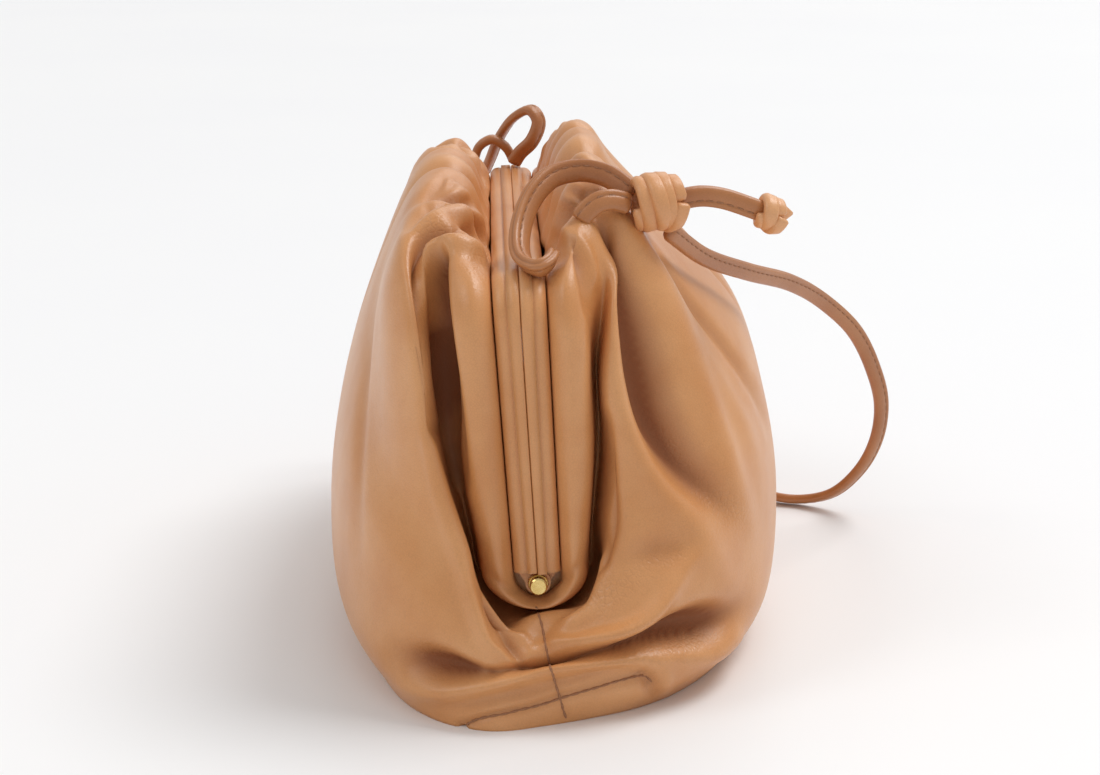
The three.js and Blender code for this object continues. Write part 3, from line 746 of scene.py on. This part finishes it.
# Gathers: grooves between puffed rolls. at is the groove's place along its side, depth a share
# of FOLD_DEPTH, and start and end say where down the column it appears and has faded.
FOLD_COLUMNS = ("at", "depth", "start", "end")
FOLDS = {
    -1: [(0.268, 0.3, 0.05, 0.40), (0.318, 0.5, 0.0, 0.56), (0.368, 0.9, 0.0, 0.62),
         (0.425, 0.4, 0.0, 0.48), (0.485, 1.1, 0.0, 0.76), (0.545, 0.4, 0.0, 0.50),
         (0.605, 1.0, 0.0, 0.70), (0.662, 0.5, 0.0, 0.50), (0.722, 0.8, 0.05, 0.70)],
    1: [(0.268, 0.5, 0.05, 0.50), (0.315, 0.9, 0.0, 0.60),
        (0.370, 0.6, 0.0, 0.50), (0.430, 1.1, 0.0, 0.72), (0.490, 0.4, 0.0, 0.50),
        (0.550, 1.0, 0.0, 0.72), (0.610, 0.5, 0.0, 0.50), (0.670, 0.9, 0.0, 0.70),
        (0.730, 0.7, 0.05, 0.76)],
}
FOLD_WIDTH_SHARE = 0.017
FOLD_POWER = 1.5
FADE_IN = 0.12
FADE_START = 0.45


def gathers(share, side, downs):
    depth = np.zeros((len(downs), len(share)))
    down = downs[:, None]
    for which, folds in FOLDS.items():
        here = (side == which)[None, :]
        for row in folds:
            f = dict(zip(FOLD_COLUMNS, row))
            distance = np.abs(share - f["at"])[None, :] / FOLD_WIDTH_SHARE
            appears = smooth((down - f["start"]) / FADE_IN)
            fades = 1 - smooth((down / f["end"] - FADE_START) / (1 - FADE_START))
            depth += here * f["depth"] * appears * fades * np.exp(-distance ** FOLD_POWER)
    return depth * FOLD_DEPTH


# Folds drawn where the photograph shows them on the near end. A row holds a pixel of the
# photograph, the fold's width there in pixels and its height in millimetres, which is below zero
# for a valley.
STROKES = {
    "roll_edge_1": [
        (424, 205, 3, -0.8), (433, 188, 3.5, -2.4), (450, 172, 3.5, -3), (470, 169, 3.5, -2.6),
        (490, 180, 3, -1.5)],
    "roll_edge_2": [
        (436, 196, 3, -0.8), (445, 186, 3, -2), (466, 180, 3, -2.4), (490, 190, 3, -1.2)],
    "roll_edge_3": [
        (405, 231, 4, -0.8), (416, 215, 4, -2.5), (434, 205, 4, -4), (458, 200, 4, -4.5),
        (479, 205, 4, -4), (491, 215, 3, -2)],
    "roll_crest_3": [(420, 226, 6, 0.8), (440, 214, 7, 2), (465, 213, 7, 2.4), (486, 224, 6, 1.4)],
    "roll_edge_4": [
        (491, 246, 3.5, -1.5), (475, 234, 4, -4), (446, 229, 4.5, -5.5), (425, 236, 5, -5),
        (415, 254, 5, -5), (415, 280, 5, -4.6), (419, 320, 6, -3.6), (425, 370, 7, -2.2),
        (434, 430, 8, -0.8)],
    "arch_roll": [
        (488, 262, 6, 0.8), (472, 248, 7, 2.4), (448, 242, 6, 3.2), (431, 248, 5, 3),
        (424, 275, 5, 2.2), (427, 320, 6, 1.8), (432, 370, 6, 1.4), (438, 420, 6, 0.8)],
    "arch_dimple": [
        (441, 250, 5, -3), (436, 268, 6, -8.5), (436, 297, 6.5, -9.5), (440, 337, 7, -8),
        (446, 385, 8, -6), (453, 430, 8, -3.5), (460, 480, 8, -1.5)],
    "left_belly_crease": [
        (400, 228, 4, -0.6), (383, 262, 5, -1.5), (372, 310, 5, -1.6), (365, 380, 5, -1.3),
        (360, 460, 6, -0.9), (358, 550, 8, -0.4)],
    "left_belly_roll": [
        (404, 235, 7, 0.8), (392, 285, 10, 1.6), (392, 350, 13, 1.6), (396, 430, 18, 1),
        (405, 520, 24, 0.4)],
    "left_lip": [
        (428, 440, 6, 1.4), (442, 500, 7, 2.4), (457, 550, 7, 3), (468, 590, 7, 3.4),
        (478, 621, 7, 3.4), (487, 642, 6, 3), (500, 654, 5, 2.2), (511, 663, 4, 1)],
    "left_lip_valley": [
        (484, 598, 6, -0.8), (495, 612, 8, -3), (506, 632, 8, -3.4), (516, 652, 6, -2.2),
        (524, 664, 4, -1)],
    "left_hollow": [
        (398, 656, 12, -2), (420, 662, 14, -6), (445, 668, 13, -8), (468, 672, 9, -7),
        (486, 674, 6, -4), (498, 674, 4, -1.5)],
    "end_crease": [
        (492, 674, 4, -2.5), (525, 667, 3.6, -4.6), (550, 661, 3.6, -4.6), (589, 654, 4, -5),
        (615, 650, 5, -5), (632, 647, 5.5, -2.5)],
    "right_hollow": [
        (618, 650, 5, -2), (640, 644, 7.5, -6), (660, 638, 10, -8.5), (682, 632, 13, -10),
        (706, 624, 15, -9), (726, 616, 14, -5), (744, 606, 11, -1.5)],
    "under_collar_shelf": [
        (504, 630, 7, 1.2), (522, 632, 10, 4.2), (546, 630, 11, 5), (568, 624, 10, 4.2),
        (586, 612, 7, 1.2)],
    "end_crease_upper_lip": [
        (530, 652, 7, 1.2), (560, 646, 7, 2.4), (592, 640, 7, 3), (622, 632, 7, 3.6),
        (645, 620, 8, 3.6), (662, 602, 8, 3), (680, 575, 9, 1.6), (692, 556, 9, 0.8)],
    "end_crease_lower_lip": [
        (405, 686, 9, 1), (440, 692, 8, 2.4), (480, 686, 7, 3), (540, 672, 6, 3), (600, 662, 6, 3),
        (645, 656, 6, 3.4), (680, 654, 7, 3.4), (712, 652, 8, 3), (735, 636, 8, 2)],
    "lower_band_dip": [
        (430, 706, 8, -0.6), (480, 700, 9, -1.6), (545, 688, 9, -1.6), (600, 674, 8, -1.6),
        (640, 668, 7, -0.8)],
    "corner_seam_dip": [
        (462, 727, 3, -2), (487, 717, 2.6, -2.2), (533, 707, 2.4, -2), (560, 698.5, 2.4, -2),
        (597, 687.5, 2.4, -2.2), (645, 676, 3.4, -3)],
    "side_seam_dip": [
        (536, 608, 2, -0.8), (542, 626, 2, -1), (548, 657, 2, -1), (553, 675, 2, -1),
        (560, 698, 2, -1), (566, 719, 2, -1)],
    "right_valley": [
        (573, 192, 5, -1.5), (593, 209, 7, -4.5), (609, 227, 10, -6.5), (621, 254, 13, -8),
        (632, 290, 17, -9), (643, 330, 22, -10), (652, 370, 25, -10.5), (662, 410, 25, -9.8),
        (678, 445, 24, -7.5), (700, 475, 22, -5), (722, 498, 18, -2.8), (742, 526, 14, -0.8)],
    "right_inner_ridge": [
        (566, 200, 5, 1.2), (586, 206, 7, 2.2), (603, 226, 8, 2.8), (611, 252, 9, 3),
        (617, 285, 11, 3), (622, 337, 13, 2.8), (627, 385, 14, 2.6), (638, 441, 15, 2.4),
        (658, 482, 16, 2.2), (690, 521, 18, 2), (710, 555, 18, 1.6), (730, 590, 18, 0.8)],
    "right_big_ridge": [
        (598, 188, 7, 1), (620, 218, 9, 2.2), (645, 254, 11, 2.6), (668, 300, 12, 2.8),
        (690, 360, 13, 2.8), (708, 409, 13, 2.6), (723, 448, 13, 2.2), (736, 487, 13, 1.6),
        (744, 524, 13, 0.7)],
    "right_outer_crease": [
        (645, 240, 4, -1), (676, 281, 5, -2.4), (703, 315, 6, -2.4), (731, 351, 6, -2),
        (752, 383, 6, -1.6), (768, 420, 6, -1), (776, 450, 6, -0.4)],
    "right_middle_ridge": [
        (700, 345, 8, 0.4), (722, 388, 9, 1.1), (742, 424, 9, 1.1), (757, 464, 9, 0.8),
        (764, 505, 9, 0.3)],
    "right_pocket_side": [
        (606, 420, 8, -0.8), (608, 480, 9, -2), (610, 525, 10, -2.6), (600, 560, 10, -2)],
    "right_lower_hollow": [(625, 560, 12, -0.6), (655, 552, 13, -1.6), (685, 545, 13, -0.9)],
    "inner_arch": [
        (548, 226, 4, 0.8), (564, 231, 5, 1.6), (578, 242, 5, 1.8), (588, 258, 5, 1.8),
        (593, 280, 5, 1.2)],
    "inner_arch_dimple": [
        (572, 240, 4, -1), (579, 256, 4, -2.6), (584, 280, 4, -2.2), (587, 310, 4, -0.8)],
    "top_roll_edge_1": [
        (538, 150, 3, -0.8), (562, 142, 3.5, -2.4), (582, 143, 3.5, -2.8), (602, 156, 3.5, -2.2),
        (620, 173, 3, -0.8)],
    "top_roll_edge_2": [
        (534, 168, 3, -0.8), (552, 166, 3, -2.6), (570, 160, 3, -3), (590, 165, 3, -2)],
    "top_roll_edge_3": [
        (532, 186, 3, -0.8), (545, 178, 3, -2), (565, 174, 3, -2), (592, 180, 3, -1.2)],
    "strap_hole": [(542, 250, 3, -2.5), (546, 260, 3, -2.5)],
    "collar_tuck_left": [(492, 578, 3, -1), (504, 587, 3.4, -1.6), (517, 590, 3, -0.8)],
    "collar_tuck_right": [(578, 566, 3, -0.8), (570, 576, 3.4, -1.6), (558, 580, 3, -0.8)],
    "corner_pit": [(643, 677, 3, -2), (650, 682, 5, -4), (653, 692, 5, -2)],
    "corner_roll": [
        (648, 665, 5, 0.6), (662, 670, 6, 1.4), (666, 684, 6, 1.2), (664, 692, 6, 0.4)],
}

# How many times narrower a fold is on the right of its direction, where it isn't even
STEEP = {"left_belly_crease": 1.6, "right_valley": 1.9, "right_inner_ridge": 1.2,
         "right_outer_crease": 2.2}
STROKE_STEP = 3.0
STROKE_REACH = 3.2
STROKE_TURNED_AWAY = 0.05
STROKE_TURNED_FADE = 0.25
NEAR_END_LIMIT = -20.0
NEAR_END_FADE = 20.0
TO_FAR_END = np.array([1.0, -1.0, 1.0])
FAR_END_SHARE = 0.85


def near_end_share(points):
    """1 on the near end, falling to 0 at NEAR_END_LIMIT."""
    return smooth((NEAR_END_LIMIT - points[:, 1]) / NEAR_END_FADE)


def stroke_heights(points, normals):
    """The height that the strokes add at each point of the near end."""
    height = np.zeros(len(points))
    u, v = to_photo(points)
    to_camera = unit(CAMERA_PLACE - points - SHIFT)
    seen = smooth((np.sum(normals * to_camera, axis=1) + STROKE_TURNED_AWAY) / STROKE_TURNED_FADE)
    seen = seen * near_end_share(points)
    for name, row in STROKES.items():
        line = spline(row, STROKE_STEP)
        reach = STROKE_REACH * line[:, 2].max()
        low, high = line[:, :2].min(axis=0) - reach, line[:, :2].max(axis=0) + reach
        near = np.flatnonzero((u > low[0]) & (u < high[0]) & (v > low[1]) & (v < high[1])
                              & (seen > 0))
        if not len(near):
            continue
        ahead = np.gradient(line[:, :2], axis=0)
        offset = np.stack([u[near], v[near]], axis=1)[:, None] - line[None, :, :2]
        distance = np.hypot(offset[..., 0], offset[..., 1])
        closest = distance.argmin(axis=1)
        picked = np.arange(len(near))
        pace = np.hypot(ahead[closest, 0], ahead[closest, 1])
        way = ahead[closest] / pace[:, None]
        gap = offset[picked, closest]
        along = way[:, 0] * gap[:, 0] + way[:, 1] * gap[:, 1]
        side = way[:, 0] * gap[:, 1] - way[:, 1] * gap[:, 0]
        place = np.clip(closest + along / pace, 0, len(line) - 1)
        beyond = (closest + along / pace - place) * pace
        samples = np.arange(len(line))
        evenness = np.where(side > 0, 1.0, 1.0 / STEEP.get(name, 1.0))
        width = np.interp(place, samples, line[:, 2]) * evenness
        share = np.hypot(side, beyond) / width
        rise = np.interp(place, samples, line[:, 3])
        height[near] += rise * np.exp(-share ** 2) * seen[near]
    return height


def drawn_folds(surface):
    """Stroke heights on both ends. The far end, which isn't seen, mirrors the near end's."""
    points, ways = surface.reshape(-1, 3), normals_of(surface).reshape(-1, 3)
    near = stroke_heights(points, ways)
    far = stroke_heights(points * TO_FAR_END, ways * TO_FAR_END)
    return (near + FAR_END_SHARE * far).reshape(surface.shape[:2])


# Finely crinkled places on the near end: centre and half sizes in pixels, turn in degrees, and
# strength
CRINKLES = [
    (612, 592, 30, 14, -35, 1.0), (715, 500, 34, 16, 35, 0.9), (668, 448, 30, 12, 50, 0.5),
    (668, 552, 32, 14, -20, 0.6), (430, 222, 20, 8, -30, 0.6), (446, 232, 18, 5, 0, 0.7),
    (480, 262, 14, 22, 60, 0.5), (690, 640, 34, 16, -20, 0.6), (440, 655, 36, 14, 15, 0.5),
    (578, 215, 22, 8, 20, 0.5), (640, 630, 26, 10, -10, 0.4),
]
CRINKLE_EVERYWHERE = 0.06


def crinkles(surface):
    points = surface.reshape(-1, 3)
    amount = np.full(len(points), CRINKLE_EVERYWHERE)
    for here in (points, points * TO_FAR_END):
        u, v = to_photo(here)
        near = near_end_share(here)
        for centre_u, centre_v, wide, tall, angle, strength in CRINKLES:
            c, s = math.cos(math.radians(angle)), math.sin(math.radians(angle))
            along = ((u - centre_u) * c + (v - centre_v) * s) / wide
            over = (-(u - centre_u) * s + (v - centre_v) * c) / tall
            amount += strength * near * np.exp(-along ** 2 - over ** 2)
    return np.clip(amount, 0, 1).reshape(surface.shape[:2])


# The hollow inside: a ring that follows the mouth, and rings in plan below it. A row holds its
# reach to the side and to the end, its height at the ends and at the sides, and its squareness.
MOUTH_INSET = 6.0
INSIDE_ROWS = [
    (16.0, 72.0, 44.0, 86.0, 2.5),
    (26.0, 72.0, 34.0, 66.0, 2.5),
    (34.0, 74.0, 20.0, 36.0, 2.5),
    (34.0, 72.0, 6.0, 6.0, 2.5),
]


def inside_rings(mouth, share, side):
    closer = mouth * np.array([1.0, 1 - MOUTH_INSET / HALF_FRAME, 1.0])
    closer[:, 2] -= MOUTH_INSET * height_share(mouth[:, 2])
    rings = [plan_ring(share, side, *row) for row in INSIDE_ROWS]
    return np.stack([mouth, closer, *rings])


# Passes that smooth the normals that folds rise along, the drawn heights and the finished wall
NORMAL_BLUR = 14
HEIGHT_BLUR = 3
FINAL_BLUR = 2
BASE_SCALES = (0.86, 0.62, 0.34, 0.12)

# Painted shade in the folds: how much the leather's colour is darkened, from the gathers' depth,
# the drawn valleys' and how far the wall lies behind its own blurred form
GATHER_DARKNESS = 0.3
DRAWN_DARKNESS = 0.95
DARKEST_DEPTH = 9.0
CAVITY_BLUR = 60
CAVITY_DEPTH = 5.0
CAVITY_POWER = 1.5
DARKEST_SHARE = 0.88


def body_mesh(outer, inner):
    """The wall's outside down to a closed base, its inside, and the rim between them."""
    base = [outer[-1] * np.array([scale, scale, 0]) for scale in BASE_SCALES]
    sheet = np.concatenate([outer, np.stack(base)])
    rows, columns = sheet.shape[:2]
    start = rows * columns
    points = np.concatenate([sheet.reshape(-1, 3), inner.reshape(-1, 3)])
    faces = grid_faces(rows, columns, 0)
    faces.append(ring_face(start - columns, columns))
    faces += grid_faces(len(inner), columns, start, -1)
    faces.append(ring_face(len(points) - columns, columns, -1))
    for k in range(columns):
        following = (k + 1) % columns
        faces.append((k, following, start + following, start + k))
    return points, faces


def make_body():
    plain, share, side, downs = lofted()
    depth = gathers(share, side, downs)
    ways = normals_of(blurred(plain, NORMAL_BLUR))
    rolled = plain - ways * depth[..., None]
    drawn = blurred(drawn_folds(rolled), HEIGHT_BLUR)
    outer = blurred(plain + ways * (drawn - depth)[..., None], FINAL_BLUR)
    outer[..., 2] = np.maximum(outer[..., 2], 0)
    outer[-1, :, 2] = 0
    inner = inside_rings(outer[0] - ways[0] * LEATHER_THICKNESS, share, side)
    points, faces = body_mesh(outer, inner)
    piece = new_piece("gathered_pouch", points, faces, [body_leather], ("leather_body",))
    # Painted shade: the fold attribute darkens the leather in gathers, drawn valleys and hollows,
    # where shade falls
    hollow = np.sum((blurred(outer, CAVITY_BLUR) - outer) * ways, axis=-1) / CAVITY_DEPTH
    painted_shade = (GATHER_DARKNESS * depth / FOLD_DEPTH
            - DRAWN_DARKNESS * np.minimum(drawn, 0) / DARKEST_DEPTH)
    painted_shade = np.clip(painted_shade + np.maximum(0, hollow) ** CAVITY_POWER, 0, DARKEST_SHARE)
    for name, values in (("fold", painted_shade), ("crinkle", crinkles(outer))):
        full = np.zeros(len(piece.data.vertices))
        full[: values.size] = values.ravel()
        attribute = piece.data.attributes.new(name, "FLOAT", "POINT")
        attribute.data.foreach_set("value", full)
    make_seams(points, faces)


# The body's sewn seams on the near end, through pixels of the photograph, and the direction across
# each. The far end has them too.
SEAMS = {
    "side_seam": [
        (536, 607), (539, 616), (542, 626), (545, 641), (548, 657), (550, 666), (553, 675),
        (556.5, 687), (560, 698), (563, 709), (566, 718)],
    "corner_seam": [
        (464, 726), (475, 720), (487, 717), (505, 714), (520, 710), (533, 707), (547, 703),
        (560, 698.5), (578, 693), (597, 687.5), (622, 680), (645, 676), (652, 682)],
}
SEAM_ACROSS = {"side_seam": (1, 0, 0), "corner_seam": (0, 0, 1)}
SEAM_STEP = 1.5
SEAM_STITCH_LENGTH = 2.6
SEAM_PINCH = 0.45
SEAM_CORD_RADIUS = 0.34
SEAM_CORD_SIDES = 6


def onto_body(pixels, tree, turned):
    """Where lines of sight through the pixels meet the body, seen from the near or the far end."""
    right, ahead, up = photo_axes()
    met = []
    for u, v in pixels:
        way = (ahead + right * (u - PHOTO_WIDTH / 2) / FOCAL_PIXELS
               - up * (v - PHOTO_HEIGHT / 2) / FOCAL_PIXELS)
        start = Vector((CAMERA_PLACE - SHIFT) * turned)
        place, _, _, _ = tree.ray_cast(start, Vector(way * turned))
        if place is not None:
            met.append(np.array(place))
    return np.array(met)


def make_seams(points, faces):
    tree = BVHTree.FromPolygons(points.tolist(), faces)
    turns = turns_of(SEAM_CORD_SIDES)
    section = np.stack([np.cos(turns), np.sin(turns)], axis=1) * SEAM_CORD_RADIUS
    for end, turned in (("near", np.ones(3)), ("far", TO_FAR_END)):
        for name, row in SEAMS.items():
            path = onto_body(spline(row, SEAM_STEP), tree, turned)
            sides, ups = carried_frames(path, SEAM_ACROSS[name])
            beat = np.abs(np.cos(math.pi * lengths_along(path) / SEAM_STITCH_LENGTH))
            thick = (1 - SEAM_PINCH + SEAM_PINCH * beat)[:, None]
            cord, cord_faces = tube_mesh(path, sides * thick, ups * thick, section)
            new_piece(f"{name}_{end}", cord, cord_faces, [thread])


# A round leather pad behind each hinge, flat on both faces
PAD_REACH = 7.5
PAD_DEPTH = 3.2
PAD_THICKNESS = 1.2
PAD_RINGS = 8
PAD_SIDES = 36


def make_hinge_pads():
    turns = turns_of(PAD_SIDES)
    reach = PAD_REACH * (np.arange(PAD_RINGS) + 0.5)[:, None] / (PAD_RINGS - 0.5)
    x, z = reach * np.cos(turns), HINGE_HEIGHT + reach * np.sin(turns)
    half = PAD_RINGS * PAD_SIDES
    for name, end in (("hinge_pad_near", -1), ("hinge_pad_far", 1)):
        discs = []
        for back in (0.0, PAD_THICKNESS):
            y = np.full_like(x, end * (HALF_FRAME - PAD_DEPTH - back))
            discs.append(np.stack([x, y, z], axis=-1).reshape(-1, 3))
        faces = []
        for first, way in ((0, end), (half, -end)):
            faces += grid_faces(PAD_RINGS, PAD_SIDES, first, way)
            faces.append(ring_face(first, PAD_SIDES, way))
        rim = half - PAD_SIDES
        for k in range(PAD_SIDES):
            a, b = rim + k, rim + (k + 1) % PAD_SIDES
            faces.append((a, a + half, b + half, b)[::end])
        new_piece(name, np.concatenate(discs), faces, [frame_leather])


# The frame's two covered halves. A half's section is a round tube with a seam's groove, and a
# flange on its inner side that reaches almost to the middle and shuts the mouth.
TUBE_ARC_POINTS = 26
TUBE_ARC_START = 0.06
TUBE_ARC_END = 1.62
FRAME_STEPS = 320
SEAM_DEPTH = 0.4
SEAM_SPREAD = 0.22
FLANGE_TOP = 0.5
FLANGE_BOTTOM = 1.3
FLANGE_ROOT = 0.30
FLANGE_ROUNDING = 0.3
FLANGE_CLEARANCE = 0.06


def frame_section(gap_to_middle):
    """Points of a half's section: towards the gap, and into the bag."""
    radius = TUBE_DIAMETER / 2
    points = []
    for k in range(TUBE_ARC_POINTS):
        turn = -mix(TUBE_ARC_START, TUBE_ARC_END, k / (TUBE_ARC_POINTS - 1)) * math.pi
        from_seam = (turn + math.pi) / SEAM_SPREAD
        here = radius - SEAM_DEPTH * math.exp(-from_seam ** 2)
        points.append((here * math.cos(turn), here * math.sin(turn)))
    tip = radius + gap_to_middle - FLANGE_CLEARANCE
    bottom, top = FLANGE_BOTTOM * radius, FLANGE_TOP * radius
    points += [(FLANGE_ROOT * radius, bottom * 0.96), (tip - FLANGE_ROUNDING, bottom),
               (tip, bottom * 0.88), (tip, top * 1.25), (tip - FLANGE_ROUNDING, top)]
    return points


def make_frame():
    for side, name, node in ((-1, "frame_cover_left", "frame_left"),
                             (1, "frame_cover_right", "frame_right")):
        y, z, end = frame_line(np.linspace(0, 1, FRAME_STEPS), FRAME_CORNER_RADIUS)
        x = -FRAME_LEAN * height_share(z) + side * (half_gap(z) + TUBE_DIAMETER / 2)
        path = np.stack([x, y, z], axis=-1)
        ahead = unit(np.gradient(path, axis=0))
        to_gap = unit(np.array([-side, 0.0, 0.0]) + side * ahead * ahead[:, :1])
        inward = np.cross(ahead, to_gap) * side
        sections = np.array([frame_section(gap) for gap in half_gap(z)])
        rings = (path[:, None] + sections[..., :1] * to_gap[:, None]
                 + sections[..., 1:] * inward[:, None])
        count = sections.shape[1]
        points = rings.reshape(-1, 3)
        faces = grid_faces(len(path), count, 0, side)
        faces.append(ring_face(0, count, -side))
        faces.append(ring_face(len(points) - count, count, side))
        new_piece(name, points, faces, [frame_leather], (node,))


# The hinges keep their solids: brass rivets, and leaves in the frame's leather
def finish_hinges():
    for node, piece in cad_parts.items():
        if node.startswith("hinge_"):
            piece.data.materials.clear()
            piece.data.materials.append(brass if "rivet" in node else frame_leather)


make_body()
make_frame()
make_hinge_pads()
finish_hinges()


# The floor and the light
FLOOR_SIZE = 8.0


def make_floor():
    half = FLOOR_SIZE / 2
    mesh = bpy.data.meshes.new("floor")
    mesh.from_pydata([(-half, -half, 0), (half, -half, 0), (half, half, 0), (-half, half, 0)],
                     [], [(0, 1, 2, 3)])
    n = Nodes("floor")
    n.link(n.ramp(n.noise(2.0), [(0.3, (0.86, 0.86, 0.87)), (0.7, (0.88, 0.88, 0.88))]),
           n.shader.inputs["Base Color"])
    n.shader.inputs["Roughness"].default_value = 0.45
    n.shader.inputs["Specular IOR Level"].default_value = 0.3
    mesh.materials.append(n.material)
    floor = bpy.data.objects.new("floor", mesh)
    bpy.context.scene.collection.objects.link(floor)


def sun_light(name, from_place, spread, strength):
    data = bpy.data.lights.new(name, "SUN")
    data.angle = math.radians(spread)
    data.energy = strength
    light = bpy.data.objects.new(name, data)
    light.rotation_euler = Vector(from_place).to_track_quat("Z", "Y").to_euler()
    bpy.context.scene.collection.objects.link(light)


def make_light():
    world = bpy.data.worlds.new("studio")
    world.use_nodes = True
    back = world.node_tree.nodes["Background"]
    back.inputs["Color"].default_value = (1.0, 1.0, 1.0, 1)
    back.inputs["Strength"].default_value = 0.57
    bpy.context.scene.world = world
    sun_light("key", (0.55, 0.22, 1.0), spread=26, strength=1.45)
    sun_light("side", (-0.8, -0.25, 0.9), spread=20, strength=0.35)
    sun_light("behind", (0.35, 0.9, 0.8), spread=40, strength=0.45)
    bpy.context.scene.view_settings.view_transform = "Standard"


make_floor()
make_light()
